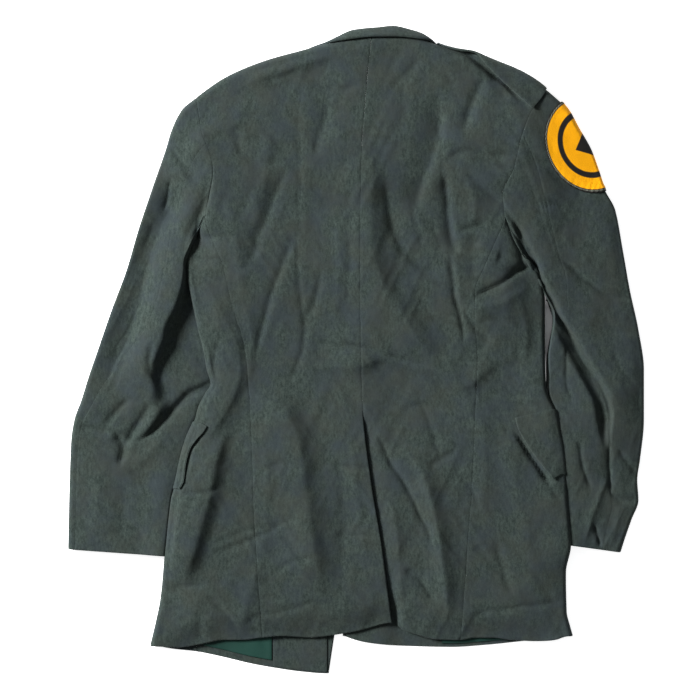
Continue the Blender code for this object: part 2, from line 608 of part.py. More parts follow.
def sleeve_column(side, index, v):
    """The sleeve's point number index, counted as armhole_ring counts them."""
    rows = SLEEVE_ROWS[side]
    seam = smooth_line([(r.v, r.seam) for r in rows])(v)
    forearm = smooth_line([(r.v, r.forearm) for r in rows])(v)
    steps = SHOULDER_STEPS + ARMHOLE_STEPS
    ring = 2 * steps + SIDE_COLUMNS
    lower = index > ring / 2
    step = ring - index if lower else index
    seam_step = SHOULDER_STEPS + (FOREARM_STEP if lower else HINDARM_STEP)
    split = forearm if lower else seam
    sign = -1 if lower else 1
    roll_from = steps + SIDE_FLAT_STEPS
    if step < SHOULDER_STEPS:
        return sleeve_roll(side, sign * 90 * step / SHOULDER_STEPS, v, inner=False)
    if step <= seam_step:
        share = split * (step - SHOULDER_STEPS) / (seam_step - SHOULDER_STEPS)
        return sleeve_skin(side, sign * max(share, 1e-6), v)
    if step <= roll_from:
        share = lerp(split, 1.0, (step - seam_step) / (roll_from - seam_step))
        return sleeve_skin(side, sign * share, v)
    return sleeve_roll(side, sign * (90 - 180 * (step - roll_from) / ROLL_STEPS), v, inner=True)


def sleeve_point(side, index, row, ring):
    """A sleeve's point: at the top it meets the armhole, and by a sixth of the way down it is free."""
    v = SLEEVE_LEVELS[row]
    index %= len(ring) - 1
    point, out = sleeve_column(side, index, v)
    start, start_out = ring[index]
    meet = (1 - ease(v / 0.17)) if row else 1.0
    if meet:
        base, _ = sleeve_column(side, index, 0.0)
        moved = point + (start - base) * meet
        moved.x += OUT[side] * 2 * SEAM * meet
        return moved, out.lerp(start_out, meet)
    return point, out


def make_body(collection, cloth):
    columns = len(BACK_COLUMNS) - 1
    for side in OUT:
        sheet(collection, f"back_{side}", cloth, columns, PANEL_ROWS,
              lambda column, row, side=side: back_point(side, column, row))
        sheet(collection, f"side_{side}", cloth, SIDE_COLUMNS, len(LEVELS) - 1,
              lambda column, row, side=side: side_point(side, column, row))
        sheet(collection, f"front_{side}", cloth, FRONT_LAST, PANEL_ROWS,
              lambda column, row, side=side: front_point(side, column, row))


def make_sleeves(collection, cloth):
    for side in OUT:
        ring = armhole_ring(side)
        whole = len(ring) - 1
        back_seam = SHOULDER_STEPS + HINDARM_STEP
        front_seam = whole - SHOULDER_STEPS - FOREARM_STEP
        spans = {"top_sleeve": (front_seam, whole + back_seam), "under_sleeve": (back_seam, front_seam)}
        for kind, (first, last) in spans.items():
            def place(column, row, first=first, last=last, side=side, ring=ring):
                point, out = sleeve_point(side, first + column, row, ring)
                if column in (0, last - first):
                    beside = 1 if column == 0 else -1
                    near, _ = sleeve_point(side, first + column + beside, row, ring)
                    point = point + (near - point).normalized() * SEAM
                return point, out

            sheet(collection, f"{kind}_{side}", cloth, last - first, len(SLEEVE_LEVELS) - 1, place)


def make_collar(collection, cloth):
    """Leaf, roll and stand in one strip. Its outer face turns from the leaf on to the stand's neck side."""
    lines = [smooth_line(list(enumerate(column))) for column in zip(*COLLAR_ROWS)]
    last = len(COLLAR_ROWS) - 1

    def section(station):
        values = [line(station) for line in lines]
        return Vector(values[0:3]), Vector(values[3:6]), Vector(values[6:9]), values[9]

    def place(column, row):
        station = last * column / COLLAR_COLUMNS
        leaf, roll, neck, bulge = section(station)
        before = section(max(station - 0.2, 0))
        after = section(min(station + 0.2, last))
        along = (after[0] + after[1] - before[0] - before[1]).normalized()
        out = along.cross(roll - leaf).normalized()
        middle = (leaf + roll) / 2 + out * bulge
        down = (roll - middle).normalized()
        side = along.cross(down).normalized()
        turn_from = roll - down * COLLAR_ROLL
        stations = [
            (leaf, out),
            (leaf.lerp(middle, 0.5) + out * bulge * 0.25, out.lerp(side, 0.25)),
            (middle, out.lerp(side, 0.5)),
            (turn_from, side),
            (turn_from + (down - side) * COLLAR_ROLL, down),
            (turn_from - side * 2 * COLLAR_ROLL, -side),
            (neck, -side),
        ]
        point, way = stations[row]
        return point, way

    sheet(collection, "collar", cloth, COLLAR_COLUMNS, 6, place)


def at_height(points, y):
    """The place at height y on a line of points that runs down the coat."""
    for upper, lower in zip(points, points[1:]):
        if lower.y <= y:
            return upper.lerp(lower, (upper.y - y) / (upper.y - lower.y))
    return points[-1].copy()


def make_lapels(collection, cloth):
    """Each lapel starts at the front's turned edge, rolls under it and lies flat below."""
    radius = (CHEST_RAISE + WALL) / 2
    for side, rows in LAPELS.items():
        width_of = smooth_line([(row.roll_y, row.width) for row in rows])
        low, high = rows[0].roll_y, rows[-1].roll_y
        edge = [front_point(side, FRONT_LAST, row)[0] for row in range(PANEL_ROWS + 1)]

        def place(column, row, side=side, width_of=width_of, low=low, high=high, edge=edge):
            roll_y = lerp(high, low, row / LAPEL_ROWS)
            x = at_height(edge, roll_y).x
            inward = -OUT[side]
            if column <= ROLL_STEPS:
                turn = math.radians(90 - 180 * column / ROLL_STEPS)
                out = Vector((inward * math.cos(turn), 0, math.sin(turn)))
                return Vector((x + inward * LAPEL_GAP, roll_y, radius)) + out * radius, out
            run = width_of(roll_y) * (column - ROLL_STEPS) / LAPEL_COLUMNS
            return Vector((x - inward * run, roll_y - LAPEL_SLANT * run, 0)), Vector((0, 0, -1))

        sheet(collection, f"lapel_{side}", cloth, ROLL_STEPS + LAPEL_COLUMNS, LAPEL_ROWS, place, THIN_WALL)


def across_row(panel, side, last, row, x):
    """The place at x, and the way out of it, on one row of a back or a front."""
    points = [panel(side, column, row) for column in range(last + 1)]
    points.sort(key=lambda found: found[0].x)
    for (near, near_out), (far, far_out) in zip(points, points[1:]):
        if x <= far.x:
            break
    share = (x - near.x) / (far.x - near.x)
    return near.lerp(far, share), near_out.lerp(far_out, share)


def over_shoulder(side, x, arc):
    """A point of the coat's skin, arc beyond the shoulder seam: towards the back if positive."""
    panel, last = (back_point, len(BACK_COLUMNS) - 1) if arc >= 0 else (front_point, FRONT_LAST)
    pitch = SHOULDER_RADIUS * math.pi / 2 / SHOULDER_STEPS
    row = min(int(abs(arc) / pitch + 1e-6), SHOULDER_STEPS)
    point, out = across_row(panel, side, last, row, x)
    beyond, beyond_out = across_row(panel, side, last, row + 1, x)
    share = (abs(arc) - row * pitch) / (pitch if row < SHOULDER_STEPS else point.y - beyond.y)
    return point.lerp(beyond, share), out.lerp(beyond_out, share).normalized()


def make_straps(collection, cloth):
    """Shoulder straps lie over the shoulder seam, from the armhole to beside the collar."""
    pitch = SHOULDER_RADIUS * math.pi / 2 / SHOULDER_STEPS
    for side, rows in STRAPS.items():
        inner = smooth_line([(row.x, row.inner) for row in rows])
        outer = smooth_line([(row.x, row.outer) for row in rows])
        seam = (BACK_SIDE if side == "right" else FRONT_SIDE)[side]
        arcs = [rows[-1].outer - 60] + [pitch * step for step in range(-SHOULDER_STEPS, SHOULDER_STEPS + 1)]
        arcs.append(rows[-1].inner + 60)

        def place(column, row, side=side, inner=inner, outer=outer, seam=seam,
                  start=rows[0].x, arcs=arcs):
            share = column / STRAP_COLUMNS
            x = lerp(start, start + OUT[side] * 110, share)
            for _ in range(4):
                arc = min(max(arcs[row], outer(x)), inner(x))
                point, out = over_shoulder(side, x, arc)
                x = lerp(start, seam(point.y) - OUT[side] * 2 * SEAM, share)
            return point + out * (STRAP_LAY + THIN_WALL), out

        sheet(collection, f"epaulette_{side}", cloth, STRAP_COLUMNS, len(arcs) - 1, place, THIN_WALL)


def make_flaps(collection, cloth):
    """Pocket flaps go round the side: the rear end shows on the back."""
    roll = range(SIDE_FLAT_STEPS, SIDE_FLAT_STEPS + ROLL_STEPS + 1)
    skip = SHOULDER_STEPS + ARMHOLE_STEPS
    for side, flap in FLAPS.items():
        lines = [
            [side_point(side, column, row)[0] for row in range(len(LEVELS))]
            for column in range(SIDE_FLAT_STEPS - 1, SIDE_COLUMNS + 1)
        ]
        lines += [
            [front_point(side, column, skip + row)[0] for row in range(len(LEVELS))]
            for column in range(1, FRONT_LAST)
        ]

        def place(column, row, side=side, flap=flap, lines=lines):
            share = row / FLAP_ROWS
            if column == 0:
                first, second = lines[0], lines[1]
                run = lerp(flap.rear_top, flap.rear_bottom, share)
                y = lerp(flap.top - flap.slant, flap.bottom, share)
            elif column == FLAP_COLUMNS:
                first, second = lines[FLAP_COLUMNS], lines[FLAP_COLUMNS - 1]
                run, y = flap.front_end, lerp(flap.top, flap.bottom, share)
            else:
                y = lerp(flap.top, flap.bottom, share)
                point = at_height(lines[column], y)
                angle = 90 - 180 * (column - 1) / ROLL_STEPS
                turn = math.radians(max(angle, -90))
                out = Vector((OUT[side] * math.cos(turn), 0, math.sin(turn)))
                return point + out * (FLAP_LAY + THIN_WALL), out
            far, near = at_height(first, y), at_height(second, y)
            out = Vector((0, 0, 1 if column == 0 else -1))
            return near.lerp(far, run / abs(far.x - near.x)) + out * (FLAP_LAY + THIN_WALL), out

        sheet(collection, f"pocket_flap_{side}", cloth, FLAP_COLUMNS, FLAP_ROWS, place, THIN_WALL)


def make_hem_linings(collection, cloth, lining):
    """What shows inside the fronts below the back's hem."""
    for name, side, material, x0, x1, hem_gap in HEM_STRIPS:
        def place(column, row, side=side, x0=x0, x1=x1, hem_gap=hem_gap):
            x = lerp(x0, x1, column / HEM_STRIP_COLUMNS)
            y = lerp(HEM_STRIP_TOP, FRONT_HEM(x) + hem_gap, row / HEM_STRIP_ROWS)
            height = lower_height(side, x, y) + WALL + LAY + LINING_WALL
            return Vector((x, y, height)), Vector((0, 0, 1))

        stuff = lining if material == "lining" else cloth
        sheet(collection, name, stuff, HEM_STRIP_COLUMNS, HEM_STRIP_ROWS, place, LINING_WALL)


def make_patch(collection, cutters, felt):
    """The patch is the sleeve's own grid round its outer edge, moved out and cut to an oval."""
    ring = armhole_ring("right")

    def place(column, row):
        point, out = sleeve_point("right", column - PATCH_STEPS, row, ring)
        return point + out * (LAY + THIN_WALL), out

    patch = sheet(collection, "sleeve_patch", felt, 2 * PATCH_STEPS, PATCH_LEVELS, place, THIN_WALL)
    slope = (SLEEVE_EDGE["right"](PATCH_Y + 20) - SLEEVE_EDGE["right"](PATCH_Y - 20)) / 40
    middle = Vector((SLEEVE_EDGE["right"](PATCH_Y), PATCH_Y, 0)) * MM
    oval = (
        Matrix.Translation(middle) @ Matrix.Rotation(-math.atan(slope), 4, "Z")
        @ Matrix.Diagonal((PATCH_HALF_WIDTH * MM, PATCH_HALF_LENGTH * MM, 1, 1))
    )
    bm = bmesh.new()
    bmesh.ops.create_cone(bm, cap_ends=True, segments=PATCH_SEGMENTS, radius1=1, radius2=1,
                          depth=100 * MM, matrix=oval)
    mesh = bpy.data.meshes.new("patch_outline")
    bm.to_mesh(mesh)
    bm.free()
    cutter = bpy.data.objects.new("patch_outline", mesh)
    cutters.objects.link(cutter)
    cutter.hide_render = True
    cutter.display_type = "WIRE"
    cut = patch.modifiers.new("oval", "BOOLEAN")
    cut.operation = "INTERSECT"
    cut.solver = "EXACT"
    cut.object = cutter


def make_button(collection, name, material, radius, height, x, y, base):
    """A domed button, its face down, turned from a short profile."""
    rim = 0.35 * height
    arcs = [math.radians(90 * step / BUTTON_ARC_STEPS) for step in range(BUTTON_ARC_STEPS + 1)]
    dome = [(radius * math.cos(arc), rim + (height - rim) * math.sin(arc)) for arc in arcs]
    profile = [(radius * 0.9, 0.0)] + dome
    bm = bmesh.new()
    verts = [bm.verts.new((0, 0, 0))] + [bm.verts.new((r * MM, 0, z * MM)) for r, z in profile]
    for a, b in zip(verts, verts[1:]):
        bm.edges.new((a, b))
    bmesh.ops.spin(
        bm, geom=bm.verts[:] + bm.edges[:], axis=(0, 0, 1), cent=(0, 0, 0),
        angle=2 * math.pi, steps=BUTTON_SIDES, use_merge=True,
    )
    bmesh.ops.remove_doubles(bm, verts=bm.verts, dist=1e-6)
    bmesh.ops.scale(bm, vec=(1, 1, -1), verts=bm.verts)
    bmesh.ops.recalc_face_normals(bm, faces=bm.faces)
    mesh = bpy.data.meshes.new(name)
    bm.to_mesh(mesh)
    bm.free()
    mesh.materials.append(material)
    mesh.shade_smooth()
    mesh.set_sharp_from_angle(angle=math.radians(40))
    button = bpy.data.objects.new(name, mesh)
    button.location = Vector((x, y, base + height)) * MM
    collection.objects.link(button)


def make_buttons(collection, brass):
    for number in range(BUTTON_COUNT):
        make_button(collection, f"front_button_{number + 1}", brass, BUTTON_RADIUS, BUTTON_HEIGHT,
                    CLOSING_X, BUTTON_TOP_Y - number * BUTTON_PITCH, 0.0)
    strap_face = CHEST_RAISE - STRAP_LAY - THIN_WALL
    for side, (x, y) in STRAP_BUTTON_PLACES.items():
        make_button(collection, f"epaulette_button_{side}", brass, STRAP_BUTTON_RADIUS,
                    STRAP_BUTTON_HEIGHT, x, y, strap_face - LAY - STRAP_BUTTON_HEIGHT)


def main():
    for obj in list(bpy.data.objects):
        bpy.data.objects.remove(obj, do_unlink=True)
    coat = new_collection("service_coat")
    cloth = new_material("wool cloth", CLOTH)
    make_body(coat, cloth)
    make_sleeves(coat, cloth)
    make_collar(coat, cloth)
    make_lapels(coat, cloth)
    make_straps(coat, cloth)
    make_flaps(coat, cloth)
    make_hem_linings(coat, cloth, new_material("lining", LINING))
    make_patch(coat, new_collection("cutters"), new_material("gold felt", GOLD_FELT))
    make_buttons(coat, new_material("brass", BRASS))


main()
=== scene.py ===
"""A single-breasted military dress tunic, buttoned and laid out face down on a pale floor.

X runs across the coat, Y up towards the collar and Z up off the floor. Sizes and places are in
millimetres and degrees, and become metres when a mesh is made. Left and right are the wearer's,
so the left pieces are at minus X. Every piece of cloth is a fine grid on the coat's skin, given
its creases, its sewn or turned edges and its wall.
"""

import logging
import math
from collections.abc import Callable, Sequence
from dataclasses import dataclass, field, replace
from enum import Enum
from typing import NamedTuple

import bmesh
import bpy
import numpy as np
from mathutils import Matrix, Vector


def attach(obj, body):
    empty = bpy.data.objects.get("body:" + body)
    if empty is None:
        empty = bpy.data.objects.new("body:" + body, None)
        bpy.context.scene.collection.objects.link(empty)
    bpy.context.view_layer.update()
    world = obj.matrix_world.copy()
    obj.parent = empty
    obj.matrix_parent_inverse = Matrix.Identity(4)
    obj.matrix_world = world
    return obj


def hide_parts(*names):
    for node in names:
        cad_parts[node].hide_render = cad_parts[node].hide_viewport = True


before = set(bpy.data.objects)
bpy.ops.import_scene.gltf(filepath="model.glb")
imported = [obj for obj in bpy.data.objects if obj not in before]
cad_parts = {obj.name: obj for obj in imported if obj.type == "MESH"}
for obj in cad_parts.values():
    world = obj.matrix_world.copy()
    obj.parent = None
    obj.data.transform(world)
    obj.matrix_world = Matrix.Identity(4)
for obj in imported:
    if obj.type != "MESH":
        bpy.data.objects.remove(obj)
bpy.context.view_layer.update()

LOG = logging.getLogger("tunic")
MM = 0.001
Array = np.ndarray
Place = tuple[Array, Array]  # points and the ways out of the cloth there

SEAM = 0.01  # half of the gap between two pieces at a seam
WALL = 2.0  # cloth with its interlining
THIN_WALL = 1.4  # lapels, straps, flaps and the patch
LINING_WALL = 1.0  # the strips inside the hem
GROOVE, PRESSED_GROOVE = 0.24, 0.12  # how deep a seam's groove is
TURN_RADIUS = 1.7
LAY = 0.35  # how far a piece lies above the cloth that carries it
CHART_UNIT = 1.28  # creases are laid out on a squared chart of the back, y down from its top
CHART_X, CHART_Y = 356.0, 349.5  # the chart's place of the coat's middle
EDGE_STEPS = (0.0, 0.45, 1.0, 1.7, 2.7, 4.2)  # where a grid's lines lie beside a finished edge
ROUNDS = 7  # how often a point is moved along both of its lines until they cross


class Side(Enum):
    """The wearer's left or right."""

    LEFT = "left"
    RIGHT = "right"

    @property
    def out(self) -> float:
        """The sign of X on this side."""
        return -1.0 if self is Side.LEFT else 1.0


class Edge(Enum):
    """How an edge of a piece of cloth is finished."""

    SEAM = "sewn to its neighbour, in a narrow groove"
    PRESSED = "sewn to its neighbour and pressed flat"
    TURNED = "turned under in a soft roll"
    PLAIN = "left as it is"


class Stuff(Enum):
    """What a piece is made of."""

    CLOTH = "cloth"
    LINING = "lining"
    PATCH = "patch"
    BRASS = "brass"


class Across(NamedTuple):
    """A station of a line that runs across the coat."""

    x: float
    y: float


class Down(NamedTuple):
    """A station of a line that runs down the coat."""

    y: float
    x: float


class Crease(NamedTuple):
    """A fold in the cloth, above zero a ridge and below it a trough.

    The path is in chart units. plus is the width in millimetres on the side of plus X, or above
    a fold that runs across. minus is the width on the other side. power is 2 for a soft fold and
    near 1 for a sharp one.
    """

    path: tuple[tuple[float, float], ...]
    height: float
    plus: float
    minus: float
    power: float = 1.4


class SleeveRow(NamedTuple):
    """A cross section of a sleeve: its two seams, and three stations of its upper face.

    seam, forearm and the stations are shares of the way in from its outer edge.
    """

    v: float
    seam: float
    forearm: float
    rise: float
    rise_height: float
    crest: float
    crest_height: float
    fall: float
    fall_height: float


class CollarRow(NamedTuple):
    """A section of the collar: the leaf's free edge, the roll line and the neck edge."""

    leaf_x: float
    leaf_y: float
    leaf_z: float
    roll_x: float
    roll_y: float
    roll_z: float
    neck_x: float
    neck_y: float
    neck_z: float
    bulge: float


class StrapRow(NamedTuple):
    """Where a shoulder strap's two edges lie, measured over the shoulder from its seam."""

    x: float
    inner: float
    outer: float


class LapelRow(NamedTuple):
    """How wide a lapel is where its roll line is at roll_y."""

    roll_y: float
    width: float


class Cut(NamedTuple):
    """A piece's flat size before it was sewn, in metres and square metres."""

    width: float
    length: float
    area: float


def lerp(a: Array | float, b: Array | float, t: Array | float) -> Array | float:
    """The value a share t of the way from a to b."""
    return a + (b - a) * t


def ease(t: Array | float) -> Array:
    """0 below 0, 1 above 1, and a soft step between."""
    t = np.clip(t, 0.0, 1.0)
    return t * t * (3 - 2 * t)


def unit(ways: Array) -> Array:
    """The ways, each made one long."""
    return ways / np.maximum(np.linalg.norm(ways, axis=-1, keepdims=True), 1e-9)


def stack(x: Array | float, y: Array | float, z: Array | float) -> Array:
    """Points or ways from their three parts, each of one shape or plain numbers."""
    return np.stack(np.broadcast_arrays(*(np.asarray(part, float) for part in (x, y, z))), axis=-1)


def upright(z: Array | float) -> Array:
    """Ways straight up, or down where z is below zero."""
    return stack(0.0, 0.0, z)


def pick(here: Array, these: Array, those: Array) -> Array:
    """These points where here is true, and those elsewhere."""
    return np.where(here[..., None], these, those)


def slopes_of(steps: Sequence[Array]) -> list[Array]:
    """Slopes at a smooth line's stations, from the slopes between them."""
    slopes = [steps[0]]
    for before, after in zip(steps, steps[1:]):
        total = np.where(np.abs(before + after) > 1e-12, before + after, 1.0)
        slopes.append(np.where(before * after > 0, 2 * before * after / total, 0.0))
    return [*slopes, steps[-1]]


def through(at: Array, stations: Sequence[Array | float], values: Sequence[Array | float]) -> Array:
    """The value at a place on a line through stations that may differ from point to point.

    Args:
        at: The places that are asked for.
        stations: The stations, from the lowest up, each a number or an array like at.
        values: The line's value at each station.

    Returns:
        The line's value at each place, flat past both ends.
    """
    shape = np.shape(at)
    stations = [np.broadcast_to(np.asarray(s, float), shape) for s in stations]
    values = [np.broadcast_to(np.asarray(v, float), shape) for v in values]
    at = np.clip(at, stations[0], stations[-1])
    widths = [np.maximum(b - a, 1e-9) for a, b in zip(stations, stations[1:])]
    slopes = slopes_of([(b - a) / w for a, b, w in zip(values, values[1:], widths)])
    result = np.array(values[0])
    for k, width in enumerate(widths):
        t = np.clip((at - stations[k]) / width, 0, 1)
        rise = values[k] + (values[k + 1] - values[k]) * t * t * (3 - 2 * t)
        bend = width * t * (1 - t) * (slopes[k] * (1 - t) - slopes[k + 1] * t)
        result = np.where(at >= stations[k], rise + bend, result)
    return result


class SmoothLine:
    """A line through (station, value) rows that never overshoots them, flat past both ends."""

    def __init__(self, rows: Sequence[tuple[float, ...]]) -> None:
        """Keeps the rows in the order of their stations."""
        rows = sorted((float(row[0]), float(row[1])) for row in rows)
        self.stations = np.array([row[0] for row in rows])
        self.values = np.array([row[1] for row in rows])
        self.slopes = np.array(slopes_of(list(np.diff(self.values) / np.diff(self.stations))))

    def __call__(self, at: Array | float) -> Array:
        """The line's value at each place."""
        at = np.clip(np.asarray(at, float), self.stations[0], self.stations[-1])
        k = np.clip(np.searchsorted(self.stations, at, side="right") - 1, 0, len(self.stations) - 2)
        width = self.stations[k + 1] - self.stations[k]
        t = (at - self.stations[k]) / width
        rise = self.values[k] + (self.values[k + 1] - self.values[k]) * t * t * (3 - 2 * t)
        return rise + width * t * (1 - t) * (self.slopes[k] * (1 - t) - self.slopes[k + 1] * t)


def line_of(rows: Sequence[NamedTuple], value: str) -> SmoothLine:
    """The line that a table gives for one of its columns, along its first one."""
    return SmoothLine([(row[0], getattr(row, value)) for row in rows])


def rounded(points: Array, steps: int) -> Array:
    """A soft curve through a few points.

    Args:
        points: The points, first axis along the curve.
        steps: How many steps each span is cut into.

    Returns:
        Points along the curve, which goes through all of the given ones.
    """
    ends = np.concatenate([2 * points[:1] - points[1:2], points, 2 * points[-1:] - points[-2:-1]])
    t = np.arange(steps).reshape((-1,) + (1,) * (points.ndim - 1)) / steps
    spans = []
    for a, b, c, d in zip(ends, ends[1:], ends[2:], ends[3:]):
        square, cube = 2 * a - 5 * b + 4 * c - d, 3 * b - a - 3 * c + d
        spans.append(0.5 * (2 * b + (c - a) * t + square * t**2 + cube * t**3))
    return np.concatenate([*spans, points[-1:]])


def stations(length: float, cell: float, start: bool = True, end: bool = True) -> Array:
    """Shares from 0 to 1 for a grid's lines, close together beside an edge that is sewn or turned.

    Args:
        length: How long the grid is that way, in millimetres.
        cell: The spacing away from its edges.
        start: Whether the lines close up at the start.
        end: Whether they close up at the end.

    Returns:
        The shares, from 0 to 1.
    """
    first = np.array(EDGE_STEPS if start else (0.0,))
    last = np.array(EDGE_STEPS if end else (0.0,))
    count = max(1, round((length - first[-1] - last[-1]) / cell))
    middle = np.linspace(first[-1], length - last[-1], count + 1)[1:-1]
    return np.concatenate([first, middle, length - last[::-1]]) / length


# ---------------------------------------------------------------- tables of the coat's outlines
TOP = SmoothLine([
    Across(-204, 322), Across(-191, 332), Across(-172, 345), Across(-146, 358), Across(-111, 371),
    Across(-67, 383), Across(-38, 391), Across(-10, 398.5), Across(23, 403), Across(55, 402.5),
    Across(80, 398.5), Across(98, 391.5), Across(120, 385),
    Across(148, 379), Across(180, 367), Across(211, 354), Across(232, 341), Across(243, 332),
])
BACK_HEM = SmoothLine([
    Across(-264, -380), Across(-230, -382), Across(-198, -377), Across(-170, -372),
    Across(-146, -372), Across(-120, -369), Across(-95, -367), Across(-60, -369),
    Across(-18, -364), Across(8, -359), Across(46, -350), Across(60, -359), Across(81, -366),
    Across(101, -371), Across(134, -372), Across(151, -369), Across(174, -369),
    Across(198, -372), Across(238, -375), Across(257, -376), Across(268, -371), Across(278, -367),
])
FRONT_HEM = SmoothLine([
    Across(-264, -380), Across(-235, -384), Across(-206, -387), Across(-180, -392),
    Across(-133, -403), Across(-105, -408), Across(-70, -413), Across(-36, -415.5),
    Across(-34.5, -415), Across(-18, -367), Across(1, -373), Across(24, -377),
    Across(58, -380), Across(124, -381.5), Across(164, -379), Across(223, -373), Across(278, -367),
])
CENTRE = SmoothLine([
    Down(400, 20), Down(333, 13), Down(220, 6), Down(104, 5), Down(-1, 6), Down(-80, 9),
    Down(-172, 20), Down(-244, 32), Down(-304, 40), Down(-350, 46),
])
# Armhole above, side seam below, on the back
BACK_SIDE = {
    Side.LEFT: SmoothLine([
        Down(322, -204), Down(294, -200), Down(271, -195), Down(253, -187), Down(227, -182),
        Down(198, -187), Down(171, -192), Down(107, -170), Down(48, -156), Down(6, -143),
        Down(-65, -136), Down(-129, -133), Down(-200, -131), Down(-282, -126), Down(-369, -120),
    ]),
    Side.RIGHT: SmoothLine([
        Down(332, 243), Down(303, 223), Down(266, 209), Down(232, 201), Down(198, 187),
        Down(171, 189), Down(132, 175), Down(107, 164), Down(76, 152), Down(38, 151),
        Down(-1, 155), Down(-86, 152), Down(-172, 148), Down(-244, 143), Down(-372, 134),
    ]),
}
# Armhole above, side body's front seam below, on the fronts
FRONT_SIDE = {
    Side.LEFT: SmoothLine([
        Down(322, -204), Down(290, -194), Down(250, -180), Down(215, -174), Down(190, -178),
        Down(168, -188), Down(112, -182), Down(63, -174), Down(-1, -162), Down(-44, -150),
        Down(-77, -160), Down(-116, -175), Down(-167, -186), Down(-218, -193), Down(-387, -206),
    ]),
    Side.RIGHT: SmoothLine([
        Down(332, 243), Down(290, 222), Down(250, 204), Down(215, 192), Down(185, 190),
        Down(150, 198), Down(112, 201), Down(63, 202), Down(-1, 202), Down(-45, 203),
        Down(-79, 211), Down(-116, 220), Down(-167, 229), Down(-218, 233), Down(-373, 223),
    ]),
}
BODY_EDGE = {
    Side.LEFT: SmoothLine([
        Down(143, -212), Down(112, -218), Down(92, -216), Down(63, -210), Down(25, -202),
        Down(-3, -195), Down(-26, -191), Down(-44, -186), Down(-56, -193), Down(-74, -202),
        Down(-89, -206), Down(-112, -216), Down(-139, -224), Down(-167, -230), Down(-193, -237),
        Down(-264, -245), Down(-321, -251), Down(-346, -256), Down(-380, -264),
    ]),
    Side.RIGHT: SmoothLine([
        Down(102, 232), Down(83, 239), Down(63, 242), Down(-13, 242), Down(-45, 243),
        Down(-61, 247), Down(-79, 256), Down(-103, 261), Down(-129, 266), Down(-158, 269),
        Down(-193, 271), Down(-250, 275), Down(-285, 269), Down(-336, 270), Down(-353, 274),
        Down(-367, 278),
    ]),
}
# Turned lapel edge above, front edge below
FRONT_EDGE = {
    Side.LEFT: SmoothLine([
        Down(388, -64), Down(372, -53), Down(352, -36), Down(300, -13), Down(240, 9), Down(200, 24),
        Down(170, 29), Down(0, 29),
        Down(-110, 25), Down(-220, 4), Down(-320, -20), Down(-368, -28), Down(-415, -35),
    ]),
    Side.RIGHT: SmoothLine([
        Down(388, 114), Down(372, 101), Down(352, 82), Down(300, 55), Down(240, 18), Down(205, -10),
        Down(170, -20), Down(0, -21),
        Down(-110, -20), Down(-220, -17), Down(-320, -16), Down(-367, -17),
    ]),
}
SLEEVE_EDGE = {
    Side.LEFT: SmoothLine([
        Down(322, -206), Down(307, -224), Down(281, -237), Down(255, -244.5), Down(204, -262),
        Down(153, -279), Down(102, -294), Down(51, -313), Down(-1, -331), Down(-39, -344),
        Down(-65, -352), Down(-90, -361), Down(-116, -365), Down(-167, -367), Down(-256, -369),
    ]),
    Side.RIGHT: SmoothLine([
        Down(332, 246), Down(319, 261), Down(307, 273), Down(281, 287), Down(255, 301),
        Down(230, 310), Down(204, 319), Down(179, 332), Down(127, 342), Down(76, 351),
        Down(25, 362), Down(-26, 369), Down(-90, 369), Down(-141, 364), Down(-167, 360.5),
        Down(-193, 362), Down(-218, 353), Down(-244, 344), Down(-260, 339),
    ]),
}
UNDERARM = {Side.LEFT: (-212.0, 143.0), Side.RIGHT: (232.0, 102.0)}
SHOULDER_Y = {Side.LEFT: 322.0, Side.RIGHT: 332.0}
SLEEVE_END = {Side.LEFT: (-256.0, -265.0), Side.RIGHT: (-260.0, -250.0)}  # outside and inside
# Top and bottom of each pocket flap, its rear edge and its hidden front edge
FLAP_SPAN = {Side.LEFT: (-92.0, -178.0), Side.RIGHT: (-76.0, -160.0)}
FLAP_REAR = {
    Side.LEFT: SmoothLine([
        Down(-92, -187), Down(-104, -193), Down(-115, -203), Down(-126, -211), Down(-144, -216.5),
        Down(-168, -219.5), Down(-178, -225),
    ]),
    Side.RIGHT: SmoothLine([
        Down(-86, 202.5), Down(-99, 206), Down(-112, 212.5), Down(-140, 231), Down(-155, 243),
        Down(-168, 254),
    ]),
}
FLAP_FRONT = {Side.LEFT: -67.0, Side.RIGHT: 69.0}
# How far outside the body's edge the sleeve's inner edge lies
SLEEVE_CLEAR = {
    Side.LEFT: SmoothLine([
        Down(143, 0), Down(128, -1.2), Down(95, -2), Down(55, -4), Down(5, -6), Down(-265, -6),
    ]),
    Side.RIGHT: SmoothLine([
        Down(102, 0.6), Down(90, 2.0), Down(63, 3.5), Down(38, 10), Down(6, 5), Down(-13, 2),
        Down(-40, 0.9), Down(-75, -6), Down(-250, -6),
    ]),
}
